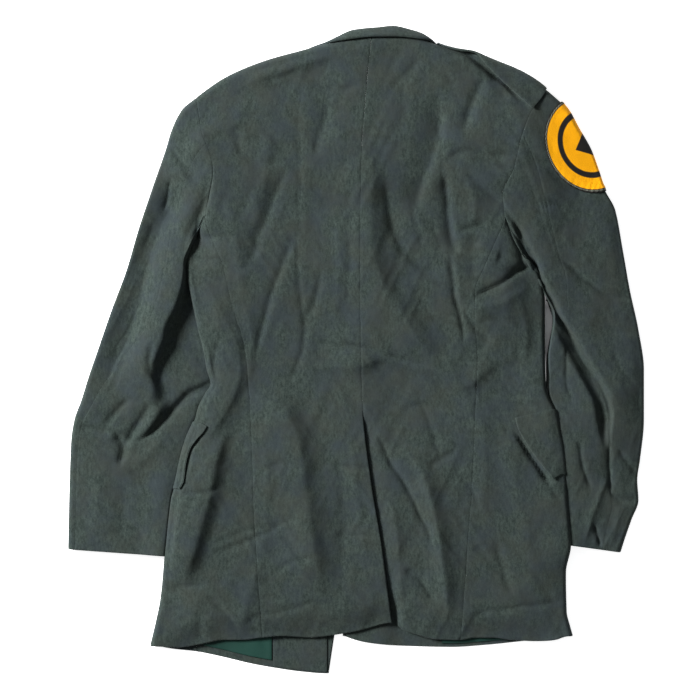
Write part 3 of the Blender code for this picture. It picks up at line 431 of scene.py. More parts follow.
# How high the body's side lies on the sleeve's inner edge
LIFT = {
    Side.LEFT: SmoothLine([
        Down(175, 0), Down(148, 0), Down(118, 3.3), Down(88, 6.6), Down(-262, 6.6),
        Down(-310, 0), Down(-340, 0),
    ]),
    Side.RIGHT: SmoothLine([
        Down(40, 0), Down(8, 0), Down(-36, 6.6), Down(-250, 6.6), Down(-300, 0), Down(-330, 0),
    ]),
}
CROWN = SmoothLine([
    Down(392, 0), Down(330, 8), Down(250, 13), Down(170, 12), Down(60, 8), Down(-45, 4),
    Down(-150, 7), Down(-300, 5), Down(-372, 3),
])
SLEEVE_ROWS = {
    Side.LEFT: [
        SleeveRow(0.00, 0.50, 0.50, 0.50, 18, 0.80, 19, 0.90, 14),
        SleeveRow(0.06, 0.46, 0.48, 0.58, 16, 0.84, 21, 0.92, 12),
        SleeveRow(0.15, 0.44, 0.45, 0.35, 15.5, 0.78, 23, 0.89, 10),
        SleeveRow(0.24, 0.40, 0.42, 0.22, 15, 0.69, 24.5, 0.81, 9),
        SleeveRow(0.33, 0.37, 0.38, 0.16, 14.5, 0.57, 25, 0.70, 8),
        SleeveRow(0.42, 0.32, 0.36, 0.16, 14.5, 0.46, 24, 0.59, 7.5),
        SleeveRow(0.50, 0.25, 0.35, 0.19, 13.5, 0.44, 23, 0.56, 8),
        SleeveRow(0.56, 0.18, 0.35, 0.16, 13.5, 0.52, 18, 0.64, 9),
        SleeveRow(0.64, 0.09, 0.35, 0.12, 13, 0.60, 15, 0.80, 13),
        SleeveRow(0.72, 0.04, 0.35, 0.10, 13, 0.65, 14, 0.87, 16),
        SleeveRow(0.85, 0.03, 0.35, 0.08, 12, 0.70, 14, 0.92, 17),
        SleeveRow(1.00, 0.03, 0.35, 0.08, 12, 0.70, 13, 0.92, 17),
    ],
    Side.RIGHT: [
        SleeveRow(0.00, 0.50, 0.50, 0.22, 16, 0.50, 19, 0.80, 18),
        SleeveRow(0.15, 0.72, 0.50, 0.14, 16.5, 0.56, 18.5, 0.80, 20),
        SleeveRow(0.30, 0.74, 0.50, 0.12, 16.5, 0.52, 19, 0.80, 19),
        SleeveRow(0.45, 0.60, 0.45, 0.11, 15.5, 0.50, 21, 0.76, 17),
        SleeveRow(0.60, 0.46, 0.45, 0.10, 15.5, 0.36, 20, 0.76, 19),
        SleeveRow(0.72, 0.40, 0.45, 0.10, 14.5, 0.30, 17, 0.80, 19.5),
        SleeveRow(0.85, 0.34, 0.40, 0.10, 13, 0.50, 15, 0.84, 17),
        SleeveRow(1.00, 0.30, 0.40, 0.10, 12, 0.50, 13, 0.88, 16),
    ],
}
COLLAR_ROWS = [
    CollarRow(-92, 337, 0.0, -36, 349, 0.0, -37, 352, 7.4, 0),
    CollarRow(-95, 353, 0.0, -39, 362, 0.0, -45.5, 364, 7.4, 0),
    CollarRow(-82, 372, 0.0, -40, 377, 0.0, -54, 377, 8.0, 0),
    CollarRow(-62, 386, 4.0, -38, 388, 0.5, -54, 385, 12.5, 1),
    CollarRow(-44, 391.5, 14, -24, 393, 0.5, -47, 388, 13.2, 2),
    CollarRow(-31, 394, 25, -8, 401, 1.0, -28, 393.5, 13.2, 4),
    CollarRow(-8, 397, 29, 7, 410, 2.0, -6, 399, 13.2, 6),
    CollarRow(24, 400, 30, 26, 412, 3.0, 24, 402, 13.2, 6),
    CollarRow(50, 400, 30, 46, 415.6, 3.0, 50, 401.7, 13.2, 6),
    CollarRow(79, 398, 29, 66, 406.5, 2.0, 78, 398, 13.2, 6),
    CollarRow(96, 395.5, 23, 79, 400, 1.0, 93, 392.5, 13.2, 4),
    CollarRow(105, 391.5, 4.5, 85, 391, 0.5, 101, 388, 12.5, 1),
    CollarRow(126, 374, 0.0, 88, 378, 0.0, 103, 377, 8.0, 0),
    CollarRow(141, 353, 0.0, 87, 362, 0.0, 94, 364, 7.4, 0),
    CollarRow(138, 337, 0.0, 84, 349, 0.0, 85, 352, 7.4, 0),
]
STRAPS = {
    Side.LEFT: [
        StrapRow(-104, -18, -44), StrapRow(-112, -14, -52), StrapRow(-150, -14, -56),
        StrapRow(-205, -14, -60),
    ],
    Side.RIGHT: [
        StrapRow(103, 5, -3), StrapRow(110, 8, -7), StrapRow(133, 9, -16), StrapRow(150, 7, -32),
        StrapRow(164, 15, -40), StrapRow(184, 27, -36), StrapRow(201, 36, -28),
        StrapRow(222, 45, -14),
    ],
}
LAPELS = {
    Side.LEFT: [
        LapelRow(203, 6), LapelRow(225, 26), LapelRow(258, 47), LapelRow(300, 64),
        LapelRow(342, 74),
    ],
    Side.RIGHT: [
        LapelRow(243, 14), LapelRow(262, 34), LapelRow(285, 50), LapelRow(310, 63),
        LapelRow(342, 74),
    ],
}
# ---------------------------------------------------------------- the creases, laid out
EDGE_CREASES = [Crease(*row) for row in (
    # beside the right shoulder strap and the rear edges of the flaps
    (((424, 41), (443, 47), (460, 52), (473, 59), (484, 67), (500, 81), (513, 93), (530, 113)),
     -12.0, 3.5, 4.5, 2.0),
    (((512, 427), (526, 450), (538, 468), (553, 488)), -7.0, 3.4, 3.0, 2.0),
    (((210, 418), (199, 436), (189, 455), (185, 470), (184, 488)), -3.6, 3, 2.6, 2.0),
)]
BODY_CREASES = [Crease(*row) for row in (
    # below the collar and along the left shoulder
    (((240, 88), (268, 78), (292, 70), (312, 62), (342, 54)), 3.6, 26, 8),
    (((262, 82), (286, 76), (300, 70)), -1.6, 3, 4),
    (((306, 83), (325, 89), (342, 92), (363, 85)), -1.8, 4, 4),
    (((388, 92), (405, 76), (422, 57)), -1.8, 4, 4),
    (((402, 82), (404, 110), (396, 144)), -1.6, 8, 8),
    (((331, 100), (322, 130), (313, 163)), -2.6, 6, 4),
    (((236, 126), (243, 159)), -1.5, 5, 5),
    (((203, 138), (223, 138)), -1.2, 3, 3),
    (((239, 118), (259, 118)), -1.0, 3, 3),
    # the long fine folds of the left half
    (((297, 88), (300, 170), (299, 248)), -1.2, 3, 3),
    (((296, 222), (300, 290), (307, 328)), -1.5, 3, 3),
    (((323, 256), (316, 302), (305, 326), (302, 362)), -2.2, 5, 4),
    (((294, 232), (282, 268), (266, 318), (253, 366)), -2.8, 3, 5),
    (((288, 168), (276, 198), (262, 232), (246, 274)), -3.4, 4, 9),
    (((336, 190), (340, 260), (334, 330)), 1.2, 5, 5),
    (((348, 180), (350, 250), (346, 312)), -1.1, 3, 3),
    (((270, 130), (266, 180), (250, 230)), 1.8, 9, 9),
    (((226, 196), (236, 240), (244, 304)), 1.6, 8, 8),
    (((189, 259), (222, 261), (251, 273)), -1.7, 3, 4),
    # from the centre seam down to the right side of the waist
    (((371, 130), (371, 180), (371, 230), (375, 262), (385, 290), (401, 312), (418, 336),
      (440, 354)), 7.4, 15, 46, 1.6),
    (((384, 170), (388, 205), (394, 234), (410, 258), (430, 272), (446, 284)), -3.8, 14, 5),
    (((411, 203), (422, 248)), -1.6, 3, 3),
    (((431, 222), (442, 256)), -1.4, 3, 3),
    (((412, 286), (430, 312), (452, 340)), -1.6, 6, 6),
    # below the right shoulder
    (((440, 84), (438, 130), (430, 160), (420, 188), (411, 216)), -5.2, 7, 20),
    (((440, 104), (441, 160), (447, 196)), -2.0, 3, 3),
    (((445, 170), (448, 205), (452, 236), (456, 258)), -5.4, 4, 9),
    (((448, 248), (453, 284), (459, 312), (466, 348)), -3.8, 3, 4),
    (((454, 250), (458, 290), (465, 324)), 1.4, 3, 3),
    (((453, 296), (466, 314), (480, 334), (494, 344)), -3.2, 4, 4),
    (((487, 76), (473, 102), (463, 138)), -4.2, 5, 7),
    (((488, 78), (507, 101)), -2.2, 4, 4),
    (((442, 163), (465, 152), (490, 157), (520, 155)), -2.8, 5, 6),
    (((462, 167), (488, 193), (506, 211)), -2.2, 4, 4),
    (((456, 232), (489, 223)), -2.4, 5, 5),
    (((468, 230), (474, 258), (472, 292)), -1.8, 8, 8),
    (((476, 241), (488, 252), (502, 257)), 2.8, 9, 9),
    (((468, 176), (474, 205), (470, 228)), 1.8, 8, 8),
    # under the right arm
    (((469, 299), (490, 290), (508, 278), (521, 269), (537, 263)), -4.8, 3, 3.5, 1.4),
    (((506, 214), (514, 230), (519, 248), (526, 272)), -8.0, 4, 6),
    (((466, 309), (500, 304), (530, 286)), 2.8, 7, 14),
    (((476, 327), (492, 319), (514, 332)), -1.5, 5, 5),
    (((520, 296), (527, 330), (522, 366)), 1.8, 7, 7),
    # across the waist
    (((290, 372), (340, 368), (362, 366), (380, 358), (412, 364), (438, 371), (465, 385),
      (488, 368), (524, 354)), 4.4, 34, 8, 1.6),
    (((322, 344), (364, 349), (380, 355), (404, 360), (440, 369)), -3.4, 5, 4.5),
    (((291, 384), (296, 366), (304, 346)), -1.8, 3, 3),
    (((484, 390), (534, 395)), -1.1, 3, 3),
    # behind the left pocket, where the side lies on the sleeve, and on to the hem
    (((204, 290), (228, 322), (240, 355), (236, 389), (219, 422), (206, 446)), 4.0, 8, 26),
    (((230, 418), (218, 460), (211, 488), (202, 522), (193, 556), (183, 592)), 9.0, 11, 44),
    (((244, 300), (252, 340), (250, 380)), 1.4, 7, 7),
    (((222, 336), (214, 362), (216, 388)), -1.6, 5, 5),
    (((170, 586), (190, 585), (210, 584)), -2.0, 3, 4),
    (((178, 491), (205, 492), (222, 484)), -2.2, 3, 4),
    (((200, 608), (200, 645)), -1.6, 3, 3),
    (((206, 591), (226, 612), (240, 633)), -1.9, 3, 4),
    (((239, 628), (260, 615), (285, 610), (325, 598)), -2.0, 3, 4),
    (((208, 557), (250, 540), (290, 520)), -1.9, 3, 4),
    (((210, 546), (250, 530), (304, 518)), -1.1, 3, 3),
    (((240, 640), (248, 600), (263, 556)), 1.3, 8, 8),
    # the skirt's left half
    (((244, 390), (280, 408), (297, 432), (303, 470), (309, 515), (317, 565), (323, 612)),
     7.0, 14, 40, 1.5),
    (((338, 445), (342, 520), (344, 606)), -1.5, 12, 8),
    (((327, 464), (375, 470)), -1.3, 3, 3),
    (((332, 535), (379, 535)), -1.3, 3, 3),
    (((352, 426), (358, 500), (367, 566)), 1.6, 10, 10),
    (((262, 436), (268, 500), (262, 566)), 1.5, 11, 11),
    # the skirt's right half
    (((374, 426), (392, 462), (408, 490), (424, 520), (436, 552)), -4.0, 3.5, 4),
    (((410, 446), (430, 495), (438, 530), (444, 570), (449, 630)), 7.0, 13, 12),
    (((425, 467), (440, 460), (459, 448)), -2.0, 5, 5),
    (((419, 396), (432, 430), (442, 460)), -1.8, 5, 5),
    (((403, 568), (420, 580), (438, 607)), -3.0, 5, 4),
    (((389, 496), (398, 540), (402, 606)), 1.8, 8, 8),
    (((472, 542), (488, 560), (503, 575)), -2.2, 3.5, 4),
    (((493, 535), (505, 570), (512, 598)), -2.8, 4, 4),
    (((466, 619), (490, 610), (520, 607), (567, 599)), -2.1, 3, 4),
    (((540, 468), (556, 493), (566, 503)), -1.9, 3.5, 3.5),
    (((502, 426), (520, 500), (535, 576)), 1.7, 12, 12),
    (((480, 406), (484, 460), (482, 526)), 1.4, 9, 9),
    (((424, 60), (446, 74), (458, 92)), -1.6, 4, 5),
    (((236, 150), (262, 166), (284, 160)), -1.4, 5, 5),
    (((330, 122), (352, 132), (362, 148)), -1.2, 4, 5),
    (((262, 470), (284, 462), (304, 470)), -1.5, 3, 4),
    (((270, 575), (292, 560), (322, 556)), -1.5, 3, 4),
    (((452, 470), (470, 486), (480, 512)), -1.7, 3, 4),
    (((508, 372), (524, 384), (546, 388)), -1.6, 3, 4),
    (((402, 410), (424, 404), (448, 412)), -1.4, 3, 4),
    # beside the left armhole, over the hollow of the sleeve
    (((214, 166), (208, 196), (200, 225), (192, 254)), -8.0, 3, 6),
)]
LEFT_SLEEVE_CREASES = [Crease(*row) for row in (
    (((215, 166), (209, 196), (202, 224), (192, 252)), -11.0, 5, 5.5),
    # the valley between the outer edge and the long ridge
    (((186, 172), (170, 208), (152, 248), (142, 285), (134, 318), (118, 356), (100, 394)),
     -8.5, 11, 22),
    (((170, 147), (183, 165), (194, 186)), -2.4, 3, 4),
    (((178, 152), (189, 170), (200, 189)), -1.9, 3, 3),
    (((172, 178), (168, 194), (163, 214)), -3.2, 4, 5),
    (((153, 222), (147, 250)), -1.7, 8, 7),
    (((132, 398), (118, 410), (103, 428)), -3.4, 4, 4),
    (((152, 400), (138, 424), (123, 450)), -4.6, 4, 5),
    (((220, 378), (208, 385), (190, 394), (172, 410), (152, 432), (130, 446)), -6.5, 4, 5.5),
    (((168, 398), (154, 418), (139, 442)), 3.0, 6, 6),
    (((78, 426), (96, 429), (113, 434)), -2.6, 3, 4),
    (((116, 432), (123, 448), (120, 468)), -6.0, 4, 5),
    (((128, 471), (142, 478), (158, 485)), -1.8, 4, 4),
    (((150, 340), (151, 368), (160, 390)), -4.0, 6, 4),
    (((100, 466), (98, 500), (94, 544)), 1.4, 9, 9),
    (((122, 480), (124, 510), (122, 548)), -1.2, 7, 7),
    (((146, 498), (148, 525), (147, 553)), 1.1, 7, 7),
    (((132, 342), (120, 372), (109, 397)), -1.6, 6, 7),
    (((162, 438), (150, 455), (132, 465)), 1.8, 6, 6),
)]
RIGHT_SLEEVE_CREASES = [Crease(*row) for row in (
    (((530, 232), (545, 273), (560, 303), (580, 339), (600, 376), (617, 401), (630, 430)),
     2.4, 30, 9),
    (((512, 216), (522, 244), (531, 264), (541, 286)), -8.0, 4.5, 4.5, 2.0),
    (((519, 224), (532, 256), (547, 290), (563, 322), (583, 356), (601, 386), (610, 410),
      (609, 454)), -11.0, 2.3, 5.5, 2.2),
    (((552, 318), (576, 356), (593, 386), (603, 412), (605, 456)), -9.0, 5.5, 7, 2.4),
    (((517, 154), (540, 161), (565, 183), (597, 196)), -3.2, 5, 9),
    (((503, 200), (525, 200), (540, 207), (555, 205), (570, 222)), -1.9, 3, 3),
    (((552, 252), (583, 278), (606, 294), (636, 300)), -3.4, 4, 5),
    (((588, 321), (608, 330), (636, 333)), -1.3, 6, 6),
    (((566, 341), (566, 380), (572, 408)), -1.7, 3, 3),
    (((578, 437), (583, 466), (592, 492)), -2.6, 3.5, 3.5),
    (((608, 440), (609, 470), (611, 496)), -3.4, 3, 4),
    (((608, 492), (622, 499), (640, 499)), -2.6, 3, 3.5),
    (((616, 448), (630, 467), (642, 482)), -2.7, 3, 4),
    (((583, 543), (597, 503), (607, 475)), 2.8, 5, 6),
    (((592, 523), (598, 536), (601, 549)), -3.2, 2.6, 2.6),
    (((621, 502), (616, 525), (609, 548)), 1.4, 6, 6),
    (((559, 233), (575, 250), (592, 264)), 1.7, 8, 8),
    (((611, 347), (622, 370), (638, 389)), -1.5, 5, 5),
)]


class Waver:
    """A smooth random swell between -1 and 1, the same on every run."""

    def __init__(self, seed: int, wave_x: float, wave_y: float) -> None:
        """Fills the lattice. The waves' lengths are in millimetres."""
        self.lattice = np.random.default_rng(seed).uniform(-1, 1, (256, 256))
        self.wave_x, self.wave_y = wave_x, wave_y

    def __call__(self, x: Array, y: Array) -> Array:
        """The swell at each place."""
        gx, gy = x / self.wave_x + 128.0, y / self.wave_y + 128.0
        i, j = np.floor(gx).astype(int), np.floor(gy).astype(int)
        tx, ty = gx - i, gy - j
        tx, ty = tx**3 * (tx * (6 * tx - 15) + 10), ty**3 * (ty * (6 * ty - 15) + 10)
        at = self.lattice[(j % 256, i % 256)], self.lattice[(j % 256, (i + 1) % 256)]
        up = self.lattice[((j + 1) % 256, i % 256)], self.lattice[((j + 1) % 256, (i + 1) % 256)]
        return lerp(lerp(at[0], at[1], tx), lerp(up[0], up[1], tx), ty)


class Relief:
    """The creases of one part of the coat, and the small swells between them."""

    SWELLS = ((1.3, 52, 75), (0.45, 23, 36), (0.2, 8, 15))  # height, and length across and down
    DRIFT = 1.5  # how far a crease strays from its path
    DRIFT_WAVE = 21
    WRINKLE_WAVES = (13, 90)
    LEANS = {0.6: 5, -0.45: 7}  # which way the small wrinkles run, in radians, and their seeds
    PATCH_WAVE = 60  # how broad the places are where they run one way
    REACH = 3.0  # how many widths from its path a crease ends
    FADE = 0.22  # the share of its path over which it fades in and out
    CURVE_STEPS = 4

    def __init__(self, creases: Sequence[Crease], seed: int, crumple: float) -> None:
        """Lays the creases' paths out in millimetres.

        Args:
            creases: The creases that are given.
            seed: Which swells lie between them.
            crumple: The height of the small wrinkles, in millimetres.
        """
        self.creases = [(self.laid_out(crease), crease) for crease in creases]
        self.swells = [
            (high, Waver(seed + k, *waves)) for k, (high, *waves) in enumerate(self.SWELLS)
        ]
        self.drift_x, self.drift_y = (
            Waver(seed + k, self.DRIFT_WAVE, self.DRIFT_WAVE) for k in (3, 4)
        )
        self.wrinkles = {
            lean: Waver(seed + k, *self.WRINKLE_WAVES) for lean, k in self.LEANS.items()
        }
        self.where = Waver(seed + 6, self.PATCH_WAVE, self.PATCH_WAVE)
        self.crumple = crumple

    @classmethod
    def laid_out(cls, crease: Crease) -> Array:
        """The crease's path as a soft curve in millimetres."""
        points = np.array(crease.path)
        placed = np.stack([points[:, 0] - CHART_X, CHART_Y - points[:, 1]], axis=1) * CHART_UNIT
        return rounded(placed, cls.CURVE_STEPS)

    @classmethod
    def add(cls, total: Array, x: Array, y: Array, path: Array, crease: Crease) -> None:
        """Adds one crease's height to total, in place.

        Args:
            total: The heights so far.
            x: Each point's X.
            y: Each point's Y.
            path: The crease's laid out path.
            crease: Its height and widths.
        """
        reach = cls.REACH * max(crease.plus, crease.minus)
        low, high = path.min(axis=0) - reach, path.max(axis=0) + reach
        near = (x > low[0]) & (x < high[0]) & (y > low[1]) & (y < high[1])
        if not near.any():
            return
        px, py = x[near], y[near]
        best, turn, along = np.full(px.shape, 1e9), np.ones(px.shape), np.zeros(px.shape)
        for k, (a, b) in enumerate(zip(path, path[1:])):
            step = b - a
            t = np.clip(((px - a[0]) * step[0] + (py - a[1]) * step[1]) / (step @ step), 0, 1)
            gx, gy = px - a[0] - t * step[0], py - a[1] - t * step[1]
            gap = np.hypot(gx, gy)
            closer = gap < best
            best = np.where(closer, gap, best)
            turn = np.where(closer, step[0] * gy - step[1] * gx, turn)
            along = np.where(closer, (k + t) / (len(path) - 1), along)
        whole = path[-1] - path[0]
        upright = abs(whole[1]) >= abs(whole[0])
        sense = -np.sign(whole[1]) if upright else np.sign(whole[0])
        taper = ease(np.minimum(along, 1 - along) / cls.FADE)
        width = np.where(turn * sense > 0, crease.plus, crease.minus) * (0.5 + 0.5 * taper)
        total[near] += crease.height * np.exp(-((best / width) ** crease.power)) * taper

    def __call__(self, x: Array, y: Array) -> Array:
        """The height of the creases and swells at each place."""
        drifted_x = x + self.DRIFT * self.drift_x(x, y)
        drifted_y = y + self.DRIFT * self.drift_y(x, y)
        total = sum(height * swell(x, y) for height, swell in self.swells)
        for lean, wrinkle in self.wrinkles.items():
            across = drifted_x * math.cos(lean) + drifted_y * math.sin(lean)
            down = drifted_y * math.cos(lean) - drifted_x * math.sin(lean)
            ridged = 1 - 2 * np.abs(wrinkle(across, down))
            here = ease(0.5 + math.copysign(1, lean) * self.where(x, y))
            total = total + self.crumple * ridged * here
        for path, crease in self.creases:
            self.add(total, drifted_x, drifted_y, path, crease)
        return total


@dataclass(frozen=True)
class CoatForm:
    """The skin of the flattened coat: where each part of a panel lies, and the way out of it."""

    side_radius: float = 7.0
    shoulder_radius: float = 10.0
    tuck_radius: float = 2.7
    sleeve_radius: float = 6.0
    sleeve_floor: float = 5.0  # the upper face's folds go no lower
    chest_height: float = 5.8
    closing_x: float = 4.0
    closing_half_width: float = 30.0
    closing_fade: float = 24.0
    closing_lap: float = 3.6
    flap_height: float = 2.8
    patch_height: float = 2.0
    vent_y: float = -80.0
    vent_drop: float = 3.0
    vent_lift: float = 1.0
    vent_fade: float = 22.0
    gape_y: float = -285.0  # from here down the vent stands open wider
    gape_fade: float = 60.0
    gape_drop: float = 6.5
    hem_droop: float = 7.5
    hem_fade: float = 34.0
    lift_start: float = 12.0  # how far inside the body's edge it starts to come down off a sleeve
    lift_fade: float = 40.0
    chest_low_y: float = 175.0  # the fronts rise off the floor from here up
    chest_fade: float = 50.0
    crown_fade: float = 45.0
    shoulder_fade: float = 70.0
    fold_fade: float = 12.0
    shallow: float = 2.5  # deeper troughs than this go on over the shoulder
    swell: float = 0.7
    floor_y: dict[tuple[Side, bool], float] = field(default_factory=lambda: {
        (Side.LEFT, True): 171.0, (Side.RIGHT, True): 171.0,
        (Side.LEFT, False): 168.0, (Side.RIGHT, False): 150.0,
    })
    body: Relief = field(default_factory=lambda: Relief(EDGE_CREASES + BODY_CREASES, 11, 0.5))
    sleeves: dict[Side, Relief] = field(default_factory=lambda: {
        Side.LEFT: Relief(LEFT_SLEEVE_CREASES, 31, 0.35),
        Side.RIGHT: Relief(RIGHT_SLEEVE_CREASES, 51, 0.3),
    })
    below: Waver = field(default_factory=lambda: Waver(71, 34, 60))

    def edge_distance(self, side: Side, x: Array, y: Array) -> Array:
        """How far a point lies inside the body's edge, which runs out along a sleeve at its top."""
        edge = BODY_EDGE[side](y) + side.out * np.maximum(y - UNDERARM[side][1], 0) * 2
        return (edge - x) * side.out

    def side_lift(self, x: Array, y: Array) -> Array:
        """The height of the body's lowest layer where it lies on a sleeve."""
        past = {side: self.edge_distance(side, x, y) - self.lift_start for side in Side}
        return sum(LIFT[side](y) * (1 - ease(past[side] / self.lift_fade)) for side in Side)

    def chest(self, y: Array) -> Array:
        """The height of the fronts on the lapels, collar, straps and buttons."""
        return self.chest_height * ease((y - self.chest_low_y) / self.chest_fade)

    def vent(self, x: Array, y: Array, side: Side) -> Array:
        """The height that the vent gives: its left lap stands up, and the right half sinks."""
        opening = ease((self.vent_y - y) / self.vent_fade)
        beside = np.abs(x - CENTRE(y))
        if side is Side.LEFT:
            return self.vent_lift * opening * np.exp(-((beside / 12) ** 2))
        gape = ease((self.gape_y - y) / self.gape_fade)
        sink = (self.vent_drop + self.gape_drop * gape) * np.exp(-((beside / (13 - 3 * gape)) ** 2))
        return -sink * opening

    def upper(self, x: Array, y: Array, side: Side | None = None) -> Array:
        """The outer face of the back, and of the part of a side body that turns over on to it.

        Args:
            x: Each point's X.
            y: Each point's Y.
            side: The half whose vent edge this is, or None away from the centre.

        Returns:
            Each point's height.
        """
        inside = np.minimum(*(self.edge_distance(side, x, y) for side in Side))
        window = ease((inside - self.side_radius) / self.crown_fade)
        below_top = TOP(x) - y - self.shoulder_radius
        shoulder = 2 * (self.shoulder_radius - self.side_radius)
        shoulder = shoulder * ease(1 - below_top / self.shoulder_fade)
        raised = CROWN(y) * ease(below_top / 60) * window
        folds = self.body(x, y)
        dents = np.minimum(folds + self.shallow, 0)
        folds = (folds - dents) * ease(below_top / 14 + 0.25) + dents
        folds = folds * ease((inside - 2) / self.fold_fade)
        droop = self.hem_droop * (1 - ease((y - BACK_HEM(x)) / self.hem_fade)) * window
        height = self.chest(y) + self.side_lift(x, y) + 2 * self.side_radius
        height = height + shoulder + raised + folds - droop
        return height + (self.vent(x, y, side) if side else 0.0)

    def closing(self, side: Side, x: Array, y: Array) -> Array:
        """The fronts' height on the buttons, and the right front's on the left one."""
        down = ease((y + 160) / 70)
        reach = self.closing_half_width + self.closing_fade
        strip = ease((reach - np.abs(x - self.closing_x)) / self.closing_fade)
        height = np.maximum(self.chest_height * down * strip, self.chest(y))
        if side is Side.RIGHT:
            lap = ease((52 - (x - self.closing_x)) / self.closing_fade) * ease((275 - y) / 30)
            height = height + self.closing_lap * lap
        return height

    def on_flap(self, side: Side, x: Array, y: Array) -> Array:
        """The fronts' height on the pocket flaps."""
        top, bottom = FLAP_SPAN[side]
        along = ease((top + 80 - y) / 24) * ease((y - bottom + 80) / 24)
        return self.flap_height * along * ease((200 - self.edge_distance(side, x, y)) / 30)

    def lower(self, side: Side, x: Array, y: Array) -> Array:
        """The outer face of a front, towards the floor. Its swells go up into the coat only."""
        swell = self.swell * np.maximum(self.below(x, y), 0)
        held = np.maximum(self.closing(side, x, y), self.on_flap(side, x, y))
        return held + self.side_lift(x, y) + swell

    def shoulder_roll(self, x: Array, turn: Array) -> Place:
        """A point on the shoulder's roll, turn from a right angle on the back to one below zero."""
        slope = (TOP(x + 4) - TOP(x - 4)) / 8
        out = unit(stack(-slope, 1.0, 0.0))
        flat = TOP(x) - self.shoulder_radius * (1 - np.cos(turn))
        height = self.chest_height + self.shoulder_radius * (1 + np.sin(turn))
        dents = np.minimum(self.body(x, flat) + self.shallow, 0)
        height = height + dents * np.clip(np.sin(turn), 0, 1)
        up = upright(np.sin(turn))
        return stack(x, flat, height), out * np.cos(turn)[..., None] + up

    def side_roll(self, side: Side, y: Array, turn: Array, crotch: Array) -> Place:
        """A point on the roll down a side. crotch is 1 where it turns into the sleeve."""
        out = lerp(stack(side.out, 0.0, 0.0 * crotch), stack(side.out * 0.5, -0.85, 0.0 * crotch),
                   crotch[..., None])
        back = self.side_radius * (1 - np.cos(turn))
        height = self.chest(y) + LIFT[side](y) + self.side_radius * (1 + np.sin(turn))
        point = stack(BODY_EDGE[side](y) - side.out * back, y + 0.85 * back * crotch, height)
        return point, out * np.cos(turn)[..., None] + upright(np.sin(turn))

    def panel(
        self, x_of_y: Callable[[Array], Array], row: Array, floor_y: float, hem: SmoothLine,
        height: Callable[[Array, Array], Array], facing: float,
    ) -> Place:
        """Points of a back or a front.

        Args:
            x_of_y: The upright line that each point is on.
            row: 0 to 3 round the shoulder, 3 to 8 down the armhole and 8 to 9 down to the hem.
            floor_y: The Y at the armhole's lower end.
            hem: The hem's line.
            height: The skin's height at a place.
            facing: 1 for the back and -1 for a front.

        Returns:
            The points and the ways out.
        """
        turn = facing * np.maximum(np.radians(30 * np.minimum(row, 3)), SEAM / self.shoulder_radius)
        drop = self.shoulder_radius * (1 - np.cos(turn))

        def y_of_x(x: Array) -> Array:
            """The cross line that each point is on."""
            armhole = lerp(TOP(x) - self.shoulder_radius, floor_y, (row - 3) / 5)
            skirt = lerp(floor_y, hem(x), row - 8)
            return np.where(row <= 3, TOP(x) - drop, np.where(row <= 8, armhole, skirt))

        y = y_of_x(np.zeros(row.shape))
        for _ in range(ROUNDS):
            x = x_of_y(y)
            y = y_of_x(x)
        rolled, rolled_out = self.shoulder_roll(x, turn)
        point = pick(row <= 3, rolled, stack(x, y, height(x, y)))
        return point, pick(row <= 3, rolled_out, upright(facing + 0.0 * row))

    def back(self, side: Side, share: Array, row: Array) -> Place:
        """Points of a half of the back: share 0 is at the centre seam and 1 at the side."""
        def x_of_y(y: Array) -> Array:
            """The upright line at each share."""
            return lerp(CENTRE(y) + side.out * SEAM, BACK_SIDE[side](y) - side.out * SEAM, share)

        return self.panel(x_of_y, row, self.floor_y[side, True], BACK_HEM,
                          lambda x, y: self.upper(x, y, side), 1.0)

    def front(self, side: Side, share: Array, row: Array) -> Place:
        """Points of a front: share 0 is at the side and 1 at the front edge."""
        def x_of_y(y: Array) -> Array:
            """The upright line at each share."""
            return lerp(FRONT_SIDE[side](y) - side.out * SEAM, FRONT_EDGE[side](y), share)

        return self.panel(x_of_y, row, self.floor_y[side, False], FRONT_HEM,
                          lambda x, y: self.lower(side, x, y), -1.0)

    def side_body(self, side: Side, column: Array, t: Array) -> Place:
        """Points of a side body.

        Args:
            side: Which one.
            column: 0 to 2 on the back, 2 to 6 round the side and 6 to 8 on the front.
            t: 0 at the armhole and 1 at the hem.

        Returns:
            The points and the ways out.
        """
        arm_y = UNDERARM[side][1]
        crotch = np.clip(1 - t / 0.07, 0, 1)
        end_y = float(BACK_HEM(BODY_EDGE[side](-400)))
        roll_y = lerp(arm_y, end_y, t)
        turn = np.radians(90 - 45 * (np.clip(column, 2, 6) - 2))
        rolled, rolled_out = self.side_roll(side, roll_y, turn, crotch)
        point, out = rolled, rolled_out
        for on_back in (True, False):
            seam, hem = (BACK_SIDE, BACK_HEM) if on_back else (FRONT_SIDE, FRONT_HEM)
            here = column < 2 if on_back else column > 6
            share = np.clip(column / 2 if on_back else (8 - column) / 2, 0, 1)
            top_y = lerp(self.floor_y[side, on_back], arm_y, share)
            y = lerp(top_y, -370, t)
            for _ in range(6):
                x = lerp(seam[side](y) + side.out * SEAM,
                         BODY_EDGE[side](y) - side.out * self.side_radius, share)
                hem_y = lerp(hem(x), end_y, share**6)
                y = lerp(top_y, hem_y, t) + 0.85 * self.side_radius * share * crotch
            height = self.upper(x, y) if on_back else self.lower(side, x, y)
            point = pick(here, stack(x, y, height), point)
            out = pick(here, upright((1.0 if on_back else -1.0) + 0.0 * t), out)
        return point, out

    def armhole(self, side: Side, index: Array) -> Place:
        """Points round an armhole: 0 to 8 down the back, to 16 below the arm, to 24 in front."""
        back, back_out = self.back(side, np.ones(index.shape), np.clip(index, 0, 8))
        under, under_out = self.side_body(side, np.clip(index - 8, 0, 8), np.zeros(index.shape))
        front, front_out = self.front(side, np.zeros(index.shape), np.clip(24 - index, 0, 8))
        point = pick(index <= 8, back, pick(index >= 16, front, under))
        return point, pick(index <= 8, back_out, pick(index >= 16, front_out, under_out))

